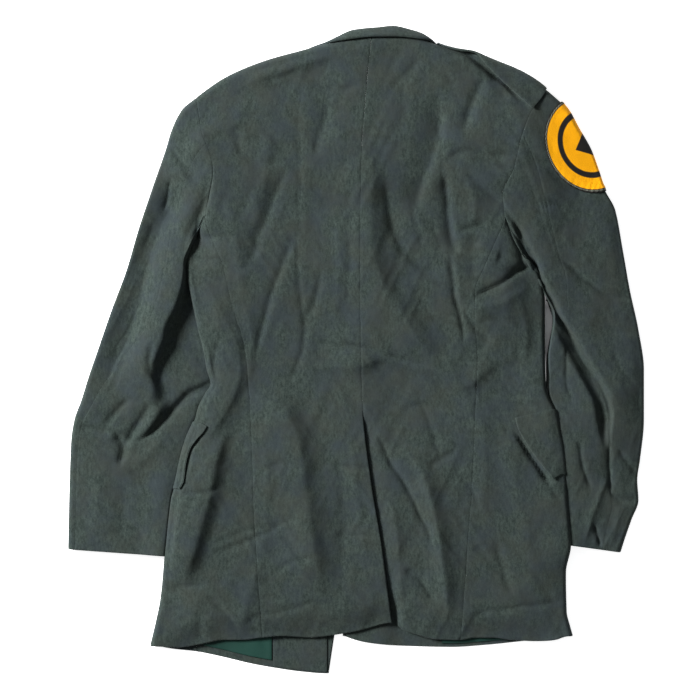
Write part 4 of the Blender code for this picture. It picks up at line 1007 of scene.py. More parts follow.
    def patch_raise(self, side: Side, share: Array, v: Array) -> Array:
        """How high a sleeve's lower face lies, on the patch or off it, a share of the way in."""
        if side is Side.LEFT:
            return 0.0 * share
        return self.patch_height * (1 - ease((v - 0.23) / 0.08)) * ease(1.6 * (1 - share))

    def sleeve_height(self, side: Side, share: Array, v: Array) -> Array:
        """The upper face of a sleeve, share of the way from its outer edge to its inner one."""
        rise, rise_height, crest, crest_height, fall, fall_height = (
            line_of(SLEEVE_ROWS[side], column)(v) for column in SleeveRow._fields[3:]
        )
        low = self.patch_raise(side, 0.0 * share, v) + 2 * self.sleeve_radius
        edge = 2 * self.tuck_radius
        return through(
            share, [0.0, rise, crest, fall, lerp(fall, 1.0, 0.88), 1.0],
            [low, rise_height, crest_height, fall_height, lerp(fall_height, edge, 0.1), edge],
        )

    def sleeve_ends(self, side: Side, v: Array) -> tuple[Array, Array]:
        """The plan places where a sleeve's flat part starts, outside, and ends, inside."""
        outer_end, inner_end = SLEEVE_END[side]
        outer_y = lerp(SHOULDER_Y[side], outer_end, v)
        inner_y = lerp(UNDERARM[side][1], inner_end, v)
        inner_x = BODY_EDGE[side](inner_y) + side.out * SLEEVE_CLEAR[side](inner_y)
        outer, inner = stack(SLEEVE_EDGE[side](outer_y), outer_y, 0.0), stack(inner_x, inner_y, 0.0)
        chord = unit(inner - outer)
        return outer + chord * self.sleeve_radius, inner - chord * self.tuck_radius

    def sleeve_column(self, side: Side, index: Array, v: Array) -> Place:
        """Points of a free sleeve, its columns counted as armhole counts them."""
        rows = SLEEVE_ROWS[side]
        lower = index > 12
        step = np.where(lower, 24 - index, index)
        seam_step = np.where(lower, 6.0, 5.0)
        split = np.where(lower, line_of(rows, "forearm")(v), line_of(rows, "seam")(v))
        sign = np.where(lower, -1.0, 1.0)
        near = split * (step - 3) / (seam_step - 3)
        far = lerp(split, 1.0, (step - seam_step) / (10 - seam_step))
        share = np.clip(np.where(step <= seam_step, near, far), 0, 1)
        start, end = self.sleeve_ends(side, v)
        point = lerp(start, end, share[..., None])
        face = np.where(lower, self.patch_raise(side, share, v), self.sleeve_height(side, share, v))
        point = stack(point[..., 0], point[..., 1], face)
        out = upright(sign)
        for inner in (False, True):
            here = step > 10 if inner else step < 3
            radius = self.tuck_radius if inner else self.sleeve_radius
            turn = np.radians(sign * (90 - 45 * (step - 10) if inner else 30 * step))
            way = unit((end - start) if inner else (start - end))
            at = end if inner else start
            low = self.patch_raise(side, (1.0 if inner else 0.0) + 0.0 * share, v)
            level = stack(at[..., 0], at[..., 1], low + radius)
            spoke = way * np.cos(turn)[..., None] + upright(np.sin(turn))
            point, out = pick(here, level + spoke * radius, point), pick(here, spoke, out)
        return point, out

    def sleeve(self, side: Side, index: Array, v: Array) -> Place:
        """Points of a sleeve: it meets the armhole at v 0, and is free from a sixth of the way."""
        index = np.mod(index, 24.0)
        point, out = self.sleeve_column(side, index, v)
        meet = 1 - ease(v / 0.17)
        start, start_out = self.armhole(side, index)
        base, _ = self.sleeve_column(side, index, 0.0 * v)
        moved = point + (start - base) * meet[..., None]
        moved[..., 0] += side.out * 2 * SEAM * meet
        out = unit(lerp(out, start_out, meet[..., None]))
        facing_up = np.clip(out[..., 2], 0, 1) * ease(v / 0.05)
        facing_down = np.clip(-out[..., 2], 0, 1) * ease(v / 0.05)
        x, y, z = moved[..., 0], moved[..., 1], moved[..., 2]
        folded = z + facing_up * self.sleeves[side](x, y)
        moved[..., 2] = np.maximum(folded, np.minimum(z, self.sleeve_floor))
        moved[..., 2] += facing_down * 0.8 * np.maximum(self.below(x, y), 0)
        return moved, out

    def without_edge_creases(self) -> "CoatForm":
        """The coat that the straps and flaps lie on, without the troughs beside them."""
        return replace(self, body=Relief(BODY_CREASES, 11, 0.5))

    def over_shoulder(self, side: Side, x: Array, arc: Array) -> Place:
        """A point of the coat's skin, arc past the shoulder seam: on the back if positive."""
        radius = self.shoulder_radius
        quarter = radius * math.pi / 2
        turn = np.clip(arc / radius, -math.pi / 2, math.pi / 2)
        rolled, out = self.shoulder_roll(x, turn)
        past = np.maximum(np.abs(arc) - quarter, 0)
        y = TOP(x) - radius - past
        flat = stack(x, y, np.where(arc > 0, self.upper(x, y), self.lower(side, x, y)))
        return pick(past > 0, flat, rolled), pick(past > 0, upright(np.sign(arc)), out)


@dataclass
class Panel:
    """A grid of cloth: the points of its outer face, and the ways out of it, row by row."""

    points: Array
    out: Array

    def runs(self) -> tuple[Array, Array]:
        """Each point's distance over the cloth from the first column and from the first row."""
        across = np.linalg.norm(np.diff(self.points, axis=1), axis=2)
        along = np.linalg.norm(np.diff(self.points, axis=0), axis=2)
        u = np.concatenate([np.zeros((len(self.points), 1)), np.cumsum(across, axis=1)], axis=1)
        v = np.concatenate([np.zeros((1, self.points.shape[1])), np.cumsum(along, axis=0)], axis=0)
        return u, v

    def finish_edges(self, left: Edge, right: Edge, top: Edge, bottom: Edge, seed: int) -> None:
        """Sinks each sewn edge into its groove and rolls each turned one under.

        Args:
            left: How the first column's edge is finished.
            right: The last column's.
            top: The first row's.
            bottom: The last row's.
            seed: Which small puckers lie along the seams.
        """
        u, v = self.runs()
        pucker = Waver(seed, 9, 9)
        runs = ((left, u, v), (right, u[:, -1:] - u, v), (top, v, u), (bottom, v[-1:] - v, u))
        for edge, gap, along in runs:
            if edge in (Edge.SEAM, Edge.PRESSED):
                deep = PRESSED_GROOVE
                if edge is Edge.SEAM:
                    deep = GROOVE * (1 + 0.5 * pucker(along, 0.0 * along))
                beside = 0.3 * np.exp(-(((gap - 4.5) / 2.8) ** 2))
                sink = deep * (np.exp(-((gap / 1.3) ** 2)) - beside)
            elif edge is Edge.TURNED:
                inside = np.clip(1 - gap / TURN_RADIUS, 0, 1)
                sink = TURN_RADIUS * (1 - np.sqrt(1 - inside**2)) * 0.85
            else:
                continue
            self.points = self.points - self.out * sink[..., None]


def grid(columns: Array, rows: Array) -> tuple[Array, Array]:
    """Each grid point's column and row values, from those of its lines."""
    return np.meshgrid(np.asarray(columns, float), np.asarray(rows, float))


def put_in_scene(name: str, data: bpy.types.ID) -> bpy.types.Object:
    """A new object that holds the data, linked to the scene."""
    thing = bpy.data.objects.new(name, data)
    bpy.context.scene.collection.objects.link(thing)
    return thing


def mesh_from(bm: bmesh.types.BMesh, name: str) -> bpy.types.Mesh:
    """A new mesh of the bmesh's shape. The bmesh is freed."""
    mesh = bpy.data.meshes.new(name)
    bm.to_mesh(mesh)
    bm.free()
    return mesh


def map_cloth(mesh: bpy.types.Mesh, places: Array) -> None:
    """Writes each point's place on the cloth into the mesh's UV map."""
    corners = np.zeros(len(mesh.loops), dtype=np.int32)
    mesh.loops.foreach_get("vertex_index", corners)
    layer = mesh.uv_layers.get("cloth") or mesh.uv_layers.new(name="cloth")
    layer.data.foreach_set("uv", places[corners].ravel())


class Tailor:
    def __init__(self, materials: dict[Stuff, bpy.types.Material]) -> None:
        """Keeps the materials."""
        self.materials = materials

    def shell(self, name: str, panel: Panel, wall: float) -> bpy.types.Object:
        """A panel's outer face as a shell of cloth, with the cloth's own run as its UV map.

        Args:
            name: The object's name.
            panel: Its outer face.
            wall: The cloth's thickness, which keeps a face that looks up off the floor.

        Returns:
            The object, with its wall as a modifier.
        """
        rows, columns = panel.points.shape[:2]
        bm = bmesh.new()
        bmesh.ops.create_grid(bm, x_segments=columns - 1, y_segments=rows - 1, size=1)
        places = panel.points * MM
        places[..., 2] = np.maximum(places[..., 2], wall * MM * np.maximum(panel.out[..., 2], 0))
        u, v = panel.runs()
        runs = np.zeros((len(bm.verts), 2))
        bm.verts.ensure_lookup_table()
        for vert in bm.verts:
            column = round((vert.co.x + 1) / 2 * (columns - 1))
            row = round((1 - vert.co.y) / 2 * (rows - 1))
            vert.co = places[row, column]
            runs[vert.index] = u[row, column] * MM, v[row, column] * MM
        middle_out = Vector(panel.out[rows // 2, columns // 2])
        middle = Vector(places[rows // 2, columns // 2])
        bm.normal_update()
        nearest = min(
            bm.faces, key=lambda face: (face.calc_center_median() - middle).length_squared
        )
        if nearest.normal.dot(middle_out) < 0:
            bmesh.ops.reverse_faces(bm, faces=bm.faces)
        mesh = mesh_from(bm, name)
        map_cloth(mesh, runs)
        mesh.shade_smooth()
        piece = put_in_scene(name, mesh)
        thicken = piece.modifiers.new("wall", "SOLIDIFY")
        thicken.thickness, thicken.offset = wall * MM, -1.0
        return piece

    def declare(self, piece: bpy.types.Object, stuff: Stuff, node: str | None) -> None:
        """Args:
            piece: The piece.
            stuff: What it is made of.
            node: The node that it stands for, if any.
        """
        piece.data.materials.append(self.materials[stuff])
        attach(piece, "root")
        if node:
            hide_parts(node)
        LOG.info("%s: %d points of %s", piece.name, len(piece.data.vertices), stuff.value)

    def sew(
        self, name: str, panel: Panel, wall: float = WALL, stuff: Stuff = Stuff.CLOTH,
        stands_for: bool = True,
    ) -> None:
        """Makes one piece of cloth.

        Args:
            name: The piece's name, which is its node's.
            panel: Its outer face.
            wall: Its thickness.
            stuff: What it is made of.
            stands_for: Whether there is such a node.
        """
        piece = self.shell(f"{name}_cloth", panel, wall)
        self.declare(piece, stuff, name if stands_for else None)


@dataclass(frozen=True)
class Body:
    """The two halves of the back, the side bodies and the fronts."""

    form: CoatForm
    cell: float = 2.8
    hidden_cell: float = 6.0
    roll_run: float = 15.7
    armhole_run: float = 195.0
    skirt_run: float = 545.0
    back_run: float = 175.0
    front_run: float = 200.0
    underlap: float = 34.0

    def rows(self, cell: float) -> Array:
        """The rows of a back or a front, from the shoulder seam to the hem."""
        roll = 3 * stations(self.roll_run, 2.2, end=False)
        armhole = 3 + 5 * stations(self.armhole_run, cell, start=False, end=False)
        skirt = 8 + stations(self.skirt_run, cell, start=False)
        return np.concatenate([roll, armhole[1:], skirt[1:]])

    def make_back(self, tailor: Tailor, side: Side) -> None:
        """Cuts and sews a half of the back."""
        share, row = grid(stations(self.back_run, self.cell), self.rows(self.cell))
        panel = Panel(*self.form.back(side, share, row))
        free = panel.points[:, :1, 1] < self.form.vent_y
        flat = panel.points.copy()
        panel.finish_edges(Edge.SEAM, Edge.SEAM, Edge.SEAM, Edge.TURNED, 5 + len(side.value))
        turned = Panel(flat, panel.out)
        turned.finish_edges(Edge.TURNED, Edge.SEAM, Edge.SEAM, Edge.TURNED, 5 + len(side.value))
        panel.points = pick(free, turned.points, panel.points)
        tailor.sew(f"back_{side.value}", panel)

    def make_underlap(self, tailor: Tailor) -> None:
        """Cuts the vent's underlap, which goes on from the right half's edge under the left one."""
        share, t = grid(stations(self.underlap, self.hidden_cell, end=False),
                        stations(275, self.hidden_cell, start=False))
        y = lerp(self.form.vent_y - 4, -351.5 - 2.0 * share, t)
        edge = CENTRE(y) + SEAM
        height = self.form.upper(edge, y, Side.RIGHT) - 0.4 - 1.6 * share
        panel = Panel(stack(edge - self.underlap * share, y, height), upright(1.0 + 0.0 * share))
        panel.finish_edges(Edge.PLAIN, Edge.TURNED, Edge.PLAIN, Edge.TURNED, 3)
        tailor.sew("vent_underlap", panel, stands_for=False)

    def make_side(self, tailor: Tailor, side: Side) -> None:
        """Cuts and sews a side body."""
        across = np.concatenate([
            2 * stations(90, self.cell, end=False),
            2 + 4 * np.linspace(0, 1, 13)[1:],
            6 + 2 * stations(60, self.hidden_cell, start=False)[1:],
        ])
        column, t = grid(across, stations(520, self.cell))
        panel = Panel(*self.form.side_body(side, column, t))
        panel.finish_edges(Edge.SEAM, Edge.SEAM, Edge.SEAM, Edge.TURNED, 15 + len(side.value))
        tailor.sew(f"side_{side.value}", panel)

    def make_front(self, tailor: Tailor, side: Side) -> None:
        """Cuts and sews a front."""
        share, row = grid(stations(self.front_run, self.hidden_cell), self.rows(self.hidden_cell))
        panel = Panel(*self.form.front(side, share, row))
        panel.finish_edges(Edge.SEAM, Edge.TURNED, Edge.SEAM, Edge.TURNED, 25 + len(side.value))
        tailor.sew(f"front_{side.value}", panel)

    def make(self, tailor: Tailor) -> None:
        """Makes the whole body of the coat."""
        for side in Side:
            self.make_back(tailor, side)
            self.make_side(tailor, side)
            self.make_front(tailor, side)
        self.make_underlap(tailor)


@dataclass(frozen=True)
class Sleeves:
    """The two sleeves, each of a top and an under sleeve."""

    form: CoatForm
    cell: float = 2.2
    hidden_cell: float = 7.0

    def make(self, tailor: Tailor) -> None:
        """Cuts and sews both sleeves."""
        v = stations(480, 2.6)
        top = np.concatenate([
            18 + 3 * stations(46, self.hidden_cell, end=False),
            21 + 6 * np.linspace(0, 1, 15)[1:],
            27 + 2 * stations(80, self.cell, start=False)[1:],
        ])
        under = np.concatenate([
            5 + 5 * stations(95, self.cell, end=False),
            10 + 4 * np.linspace(0, 1, 11)[1:],
            14 + 4 * stations(70, self.hidden_cell, start=False)[1:],
        ])
        for side in Side:
            for kind, columns in (("top_sleeve", top), ("under_sleeve", under)):
                index, row = grid(columns, v)
                panel = Panel(*self.form.sleeve(side, index, row))
                self.part(panel)
                panel.finish_edges(
                    Edge.PRESSED, Edge.PRESSED, Edge.SEAM, Edge.TURNED, 40 + len(kind)
                )
                tailor.sew(f"{kind}_{side.value}", panel)

    @staticmethod
    def part(panel: Panel) -> None:
        """Draws a sleeve piece's long edges in from its seams."""
        points = panel.points
        for at, beside in ((0, 1), (-1, -2)):
            inward = unit(points[:, beside] - points[:, at])
            points[:, at] = points[:, at] + inward * SEAM


@dataclass(frozen=True)
class Collar:
    """The collar: leaf, roll and stand in one strip."""

    roll_half: float = 2.3
    columns: int = 150
    steps: int = 5

    def section(self, lines: Sequence[SmoothLine], at: Array) -> tuple[Array, Array, Array, Array]:
        """The leaf's edge, roll line, neck edge and bulge at each station."""
        values = [line(at) for line in lines]
        return stack(*values[0:3]), stack(*values[3:6]), stack(*values[6:9]), values[9][..., None]

    def make(self, tailor: Tailor) -> None:
        """Cuts and sews the collar."""
        lines = [SmoothLine(list(enumerate(column))) for column in zip(*COLLAR_ROWS)]
        last = len(COLLAR_ROWS) - 1
        at = last * stations(520, 520 / self.columns)
        leaf, roll, neck, bulge = self.section(lines, at)
        before = self.section(lines, np.maximum(at - 0.2, 0))
        after = self.section(lines, np.minimum(at + 0.2, last))
        along = unit(after[0] + after[1] - before[0] - before[1])
        out = unit(np.cross(along, roll - leaf))
        middle = (leaf + roll) / 2 + out * bulge
        down = unit(roll - middle)
        side = unit(np.cross(along, down))
        turn = roll - down * self.roll_half
        points = np.stack([
            leaf, lerp(leaf, middle, 0.5) + out * bulge * 0.25, middle, turn,
            turn + (down - side) * self.roll_half, turn - side * 2 * self.roll_half, neck,
        ])
        ways = np.stack([
            out, lerp(out, side, 0.25), lerp(out, side, 0.5), side, down, -side, -side,
        ])
        panel = Panel(rounded(points, self.steps), unit(rounded(ways, self.steps)))
        panel.finish_edges(Edge.TURNED, Edge.TURNED, Edge.TURNED, Edge.SEAM, 61)
        tailor.sew("collar", panel)


@dataclass(frozen=True)
class Lapels:
    """The two lapels, turned out under the fronts."""

    form: CoatForm
    gap: float = 1.1
    slant: float = 0.36

    def make(self, tailor: Tailor) -> None:
        """Cuts and sews both lapels."""
        radius = (self.form.chest_height + WALL) / 2  # it fills the height under the chest
        for side, rows in LAPELS.items():
            width_of = line_of(rows, "width")
            column, share = grid(
                np.concatenate([np.linspace(0, 4, 9), 4 + stations(70, 6, start=False)[1:]]),
                stations(130, 6),
            )
            roll_y = lerp(rows[-1].roll_y, rows[0].roll_y, share)
            x = FRONT_EDGE[side](roll_y)
            turn = np.radians(90 - 45 * np.minimum(column, 4))
            out = stack(-side.out * np.cos(turn), 0.0, np.sin(turn))
            rolled = stack(x - side.out * self.gap, roll_y, radius) + out * radius
            run = width_of(roll_y) * np.maximum(column - 4, 0)
            lift = 0.35 * np.maximum(self.form.below(x + side.out * run, roll_y), 0)
            flat = stack(x + side.out * run, roll_y - self.slant * run, lift * ease(run / 12))
            panel = Panel(pick(column <= 4, rolled, flat), out)
            panel.finish_edges(Edge.PLAIN, Edge.TURNED, Edge.TURNED, Edge.TURNED, 65)
            tailor.sew(f"lapel_{side.value}", panel, THIN_WALL)


@dataclass(frozen=True)
class Straps:
    """The shoulder straps, sewn in at the armhole and buttoned beside the collar."""

    form: CoatForm
    lay: float = 0.8

    def make(self, tailor: Tailor) -> None:
        """Cuts and sews both straps."""
        form = self.form.without_edge_creases()
        for side, rows in STRAPS.items():
            inner, outer = line_of(rows, "inner"), line_of(rows, "outer")
            seam = (BACK_SIDE if side is Side.RIGHT else FRONT_SIDE)[side]
            share, q = grid(stations(115, 2.6), stations(50, 2.2))
            start = rows[0].x
            x = lerp(start, start + side.out * 110, share)
            for _ in range(6):
                arc = lerp(outer(x), inner(x), q)
                point, out = form.over_shoulder(side, x, arc)
                x = lerp(start, seam(point[..., 1]) - side.out * 2 * SEAM, share)
            edge = np.minimum(q, 1 - q) * np.abs(inner(x) - outer(x))
            quilt = 0.25 * (1 - np.exp(-((edge / 3.0) ** 2)))
            lifted = 2.0 * np.exp(-(((1 - q) * 40 / 7) ** 2)) if side is Side.RIGHT else 0.0 * q
            rise = self.lay + THIN_WALL + quilt + lifted
            panel = Panel(point + unit(out) * rise[..., None], unit(out))
            panel.finish_edges(Edge.TURNED, Edge.SEAM, Edge.TURNED, Edge.TURNED, 70)
            tailor.sew(f"epaulette_{side.value}", panel, THIN_WALL)


@dataclass(frozen=True)
class Flaps:
    """The lower pocket flaps, which go round the side on to the back."""

    form: CoatForm
    lift: float = 1.2

    def make(self, tailor: Tailor) -> None:
        """Cuts and sews both flaps."""
        form = self.form.without_edge_creases()
        for side in Side:
            top, bottom = FLAP_SPAN[side]
            rear_x = FLAP_REAR[side]
            k, t = grid(
                np.concatenate([
                    stations(34, 2.4, end=False), 1 + np.linspace(0, 4, 13)[1:],
                    5 + stations(140, 6, start=False)[1:],
                ]),
                stations(86, 2.6),
            )
            slant = -6.0 if side is Side.LEFT else -11.0
            low_slant = 0.0 if side is Side.LEFT else -6.0
            back_share = np.clip(1 - k, 0, 1)
            y = lerp(top + slant * back_share, bottom + low_slant * back_share, t)
            roll_x = BODY_EDGE[side](y) - side.out * self.form.side_radius
            x = lerp(roll_x, rear_x(y), back_share)
            under_x = lerp(roll_x, FLAP_FRONT[side], np.clip(k - 5, 0, 1))
            turn = np.radians(90 - 45 * (np.clip(k, 1, 5) - 1))
            rolled, out = form.side_roll(side, y, turn, 0.0 * t)
            upper = stack(x, y, form.upper(x, y))
            under = stack(under_x, y, form.lower(side, under_x, y))
            point = pick(k < 1, upper, pick(k > 5, under, rolled))
            curl = self.lift * (np.exp(-(((1 - t) / 0.16) ** 2)) + np.exp(-((k / 0.3) ** 2)))
            rise = LAY + THIN_WALL + curl * np.clip(1 - k, 0, 1) ** 0.5
            panel = Panel(point + out * rise[..., None], out)
            panel.finish_edges(Edge.TURNED, Edge.TURNED, Edge.SEAM, Edge.TURNED, 80)
            tailor.sew(f"pocket_flap_{side.value}", panel, THIN_WALL)


class HemStrip(NamedTuple):
    """What shows inside a front's hem."""

    name: str
    side: Side
    stuff: Stuff
    x0: float
    x1: float
    hem_gap: float


@dataclass(frozen=True)
class HemLinings:
    """The lining and facing inside the fronts, where they show below the back's hem."""

    form: CoatForm
    top: float = -325.0
    strips: tuple[HemStrip, ...] = (
        HemStrip("lining_left", Side.LEFT, Stuff.LINING, -196, -108, 9),
        HemStrip("facing_left", Side.LEFT, Stuff.CLOTH, -106.5, -37, 1.5),
        HemStrip("lining_right", Side.RIGHT, Stuff.LINING, 110, 200, 4.5),
    )

    def make(self, tailor: Tailor) -> None:
        """Cuts and sews the strips."""
        ripple = Waver(91, 14, 60)
        for strip in self.strips:
            share, t = grid(stations(strip.x1 - strip.x0, 2.5), stations(75, 2.5))
            x = lerp(strip.x0, strip.x1, share)
            y = lerp(self.top, FRONT_HEM(x) + strip.hem_gap, t)
            height = self.form.lower(strip.side, x, y) + WALL + LAY + LINING_WALL
            if strip.stuff is Stuff.LINING:
                height = height + 0.7 * (1 + ripple(x + 0.4 * y, y))
            panel = Panel(stack(x, y, height), upright(1.0 + 0.0 * t))
            panel.finish_edges(Edge.SEAM, Edge.SEAM, Edge.PLAIN, Edge.TURNED, 92)
            tailor.sew(strip.name, panel, LINING_WALL, strip.stuff)


@dataclass(frozen=True)
class SleevePatch:
    """The oval felt patch round the right sleeve's outer edge."""

    form: CoatForm
    middle_y: float = 263.0
    half_width: float = 56.0
    half_length: float = 64.0
    border: float = 0.1

    def middle_and_lean(self) -> tuple[Vector, float]:
        """The oval's middle, and the angle that it leans by."""
        edge = SLEEVE_EDGE[Side.RIGHT]
        slope = float(edge(self.middle_y + 20) - edge(self.middle_y - 20)) / 40
        return Vector((float(edge(self.middle_y)), self.middle_y, 0)), -math.atan(slope)

    def own_place(self, places: Array) -> Array:
        """Each place in the patch's own sizes: 1 is its outline, across and along."""
        middle, lean = self.middle_and_lean()
        dx, dy = places[..., 0] - middle.x, places[..., 1] - middle.y
        across = (dx * math.cos(lean) + dy * math.sin(lean)) / self.half_width
        along = (dy * math.cos(lean) - dx * math.sin(lean)) / self.half_length
        return np.stack([across, along], axis=-1)

    def make(self, tailor: Tailor) -> None:
        """Cuts the patch out of the sleeve's own surface, moved out."""
        index, v = grid(24 + np.linspace(-6.5, 6.5, 90), np.linspace(0.004, 0.36, 78))
        point, out = self.form.sleeve(Side.RIGHT, index, v)
        own = self.own_place(point)
        reach = np.hypot(own[..., 0], own[..., 1])
        cord = 0.9 * np.exp(-(((reach - 1 + 0.5 * self.border) / (0.5 * self.border)) ** 4))
        panel = Panel(point + out * (LAY + THIN_WALL + cord)[..., None], out)
        piece = tailor.shell("sleeve_patch_cloth", panel, THIN_WALL)
        cutter = self.cutter()
        cut = piece.modifiers.new("oval", "BOOLEAN")
        cut.operation, cut.solver, cut.object = "INTERSECT", "EXACT", cutter
        finished = piece.evaluated_get(bpy.context.evaluated_depsgraph_get())
        mesh = bpy.data.meshes.new_from_object(finished)
        piece.modifiers.clear()
        piece.data = mesh
        bpy.data.objects.remove(cutter, do_unlink=True)
        places = np.zeros(len(mesh.vertices) * 3)
        mesh.vertices.foreach_get("co", places)
        map_cloth(mesh, self.own_place(places.reshape(-1, 3) / MM))
        mesh.shade_smooth()
        mesh.set_sharp_from_angle(angle=math.radians(50))
        mesh.materials.clear()
        tailor.declare(piece, Stuff.PATCH, "sleeve_patch")

    def cutter(self) -> bpy.types.Object:
        """The oval tube that the patch is cut out with."""
        middle, lean = self.middle_and_lean()
        shape = (
            Matrix.Translation(middle * MM) @ Matrix.Rotation(lean, 4, "Z")
            @ Matrix.Diagonal((self.half_width * MM, self.half_length * MM, 1, 1))
        )
        bm = bmesh.new()
        bmesh.ops.create_cone(
            bm, cap_ends=True, segments=96, radius1=1, radius2=1, depth=0.1, matrix=shape
        )
        return put_in_scene("patch_outline", mesh_from(bm, "patch_outline"))


class ButtonPlace(NamedTuple):
    """A button: its node, its middle, the height of its back and its size."""

    node: str
    x: float
    y: float
    back_z: float
    radius: float
    height: float


@dataclass(frozen=True)
class Buttons:
    """Domed brass buttons with a plain rim, their faces down."""

    places: tuple[ButtonPlace, ...] = (
        ButtonPlace("front_button_1", 4, 172, 5.3, 12.5, 5.3),
        ButtonPlace("front_button_2", 4, 96, 5.3, 12.5, 5.3),
        ButtonPlace("front_button_3", 4, 20, 5.3, 12.5, 5.3),
        ButtonPlace("front_button_4", 4, -56, 5.3, 12.5, 5.3),
        ButtonPlace("epaulette_button_left", -122, 343, 3.25, 7.5, 3.2),
        ButtonPlace("epaulette_button_right", 162, 355, 3.25, 7.5, 3.2),
    )

    @staticmethod
    def profile(place: ButtonPlace) -> list[tuple[float, float]]:
        """A button's half section: radius and distance below its back."""
        rim = 0.32 * place.height
        rolled = [
            (place.radius * (0.94 + 0.06 * math.cos(turn)), rim * (0.62 + 0.38 * math.sin(turn)))
            for turn in map(math.radians, range(-90, 181, 30))
        ]
        rise = place.height - rim
        dome = [
            (place.radius * 0.86 * math.cos(arc), rim + rise * (0.12 + 0.88 * math.sin(arc)))
            for arc in map(math.radians, range(0, 91, 10))
        ]
        return [(0.0, 0.0), (place.radius * 0.88, 0.0), *rolled, *dome]

    def make(self, tailor: Tailor) -> None:
        """Spins each button from its half section."""
        for place in self.places:
            bm = bmesh.new()
            verts = [bm.verts.new((r * MM, 0, -z * MM)) for r, z in self.profile(place)]
            for a, b in zip(verts, verts[1:]):
                bm.edges.new((a, b))
            bmesh.ops.spin(bm, geom=bm.verts[:] + bm.edges[:], axis=(0, 0, 1), cent=(0, 0, 0),
                           angle=2 * math.pi, steps=48, use_merge=True)
            bmesh.ops.remove_doubles(bm, verts=bm.verts, dist=1e-6)
            bmesh.ops.recalc_face_normals(bm, faces=bm.faces)
            middle = Vector((place.x, place.y, place.back_z)) * MM
            bmesh.ops.translate(bm, verts=bm.verts, vec=middle)
            mesh = mesh_from(bm, f"{place.node}_dome")
            mesh.shade_smooth()
            mesh.set_sharp_from_angle(angle=math.radians(60))
            tailor.declare(put_in_scene(f"{place.node}_dome", mesh), Stuff.BRASS, place.node)


# ---------------------------------------------------------------- finishes
Colour = tuple[float, float, float]
Socket = bpy.types.NodeSocket
Inputs = dict[str | int, object]  # values or sockets, by the name or number of what they feed


class Nodes:
    """A short way to place and link nodes in one tree."""

    def __init__(self, tree: bpy.types.NodeTree) -> None:
        """Keeps the tree."""
        self.tree = tree

    def feed(self, node: bpy.types.Node, inputs: Inputs) -> None:
        """Sets or links a node's inputs."""
        for name, value in inputs.items():
            if isinstance(value, Socket):
                self.tree.links.new(value, node.inputs[name])
            else:
                node.inputs[name].default_value = value

    def add(self, kind: str, inputs: Inputs | None = None, **settings: object) -> bpy.types.Node:
        """Places a node.

        Args:
            kind: Its type's name.
            inputs: What its inputs are given.
            settings: Its own properties.

        Returns:
            The node.
        """
        node = self.tree.nodes.new(kind)
        for name, value in settings.items():
            setattr(node, name, value)
        self.feed(node, inputs or {})
        return node

    def maths(self, operation: str, *values: object) -> Socket:
        """The result of a Math node."""
        return self.add("ShaderNodeMath", dict(enumerate(values)), operation=operation).outputs[0]

    def times(self, a: object, b: object) -> Socket:
        """One value times the other."""
        return self.maths("MULTIPLY", a, b)

    def spread(
        self, value: Socket, low: float, high: float, start: float = 0.0, end: float = 1.0,
    ) -> Socket:
        """The value, with low to high spread out to start to end and cut off there."""
        inputs = {0: value, 1: low, 2: high, 3: start, 4: end}
        return self.add("ShaderNodeMapRange", inputs).outputs[0]

    def mix(self, share: object, a: Socket | Colour, b: Socket | Colour) -> Socket:
        """Colour b over colour a by a share."""
        a, b = (part if isinstance(part, Socket) else (*part, 1.0) for part in (a, b))
        return self.add("ShaderNodeMix", {0: share, 6: a, 7: b}, data_type="RGBA").outputs[2]

    def noise(self, vector: Socket, scale: float, detail: float, rough: float) -> Socket:
        """A noise of about 0 to 1."""
        inputs = {"Vector": vector, "Scale": scale, "Detail": detail, "Roughness": rough}
        return self.add("ShaderNodeTexNoise", inputs).outputs[0]

    def squeezed(
        self, vector: Socket, scale: tuple[float, float, float], turn: float = 0.0,
    ) -> Socket:
        """The coordinates, turned and scaled."""
        inputs = {"Vector": vector, "Rotation": (0, 0, turn), "Scale": scale}
        return self.add("ShaderNodeMapping", inputs).outputs[0]

    def bump(self, height: Socket, strength: float, distance: float) -> Socket:
        """The normal of a surface with the given height."""
        inputs = {"Strength": strength, "Distance": distance, "Height": height}
        return self.add("ShaderNodeBump", inputs).outputs[0]


def new_group(name: str, inputs: dict[str, str], outputs: Sequence[str]) -> tuple[
        Nodes, bpy.types.Node, bpy.types.Node]:
    """An empty shader group.

    Args:
        name: The group's name.
        inputs: The name and socket type of each input.
        outputs: The name of each output, all of them numbers.

    Returns:
        The group's node maker, and its input and output nodes.
    """
    group = bpy.data.node_groups.new(name, "ShaderNodeTree")
    for label, kind in inputs.items():
        group.interface.new_socket(name=label, in_out="INPUT", socket_type=kind)
    for label in outputs:
        group.interface.new_socket(name=label, in_out="OUTPUT", socket_type="NodeSocketFloat")
    nodes = Nodes(group)
    return nodes, nodes.add("NodeGroupInput"), nodes.add("NodeGroupOutput")


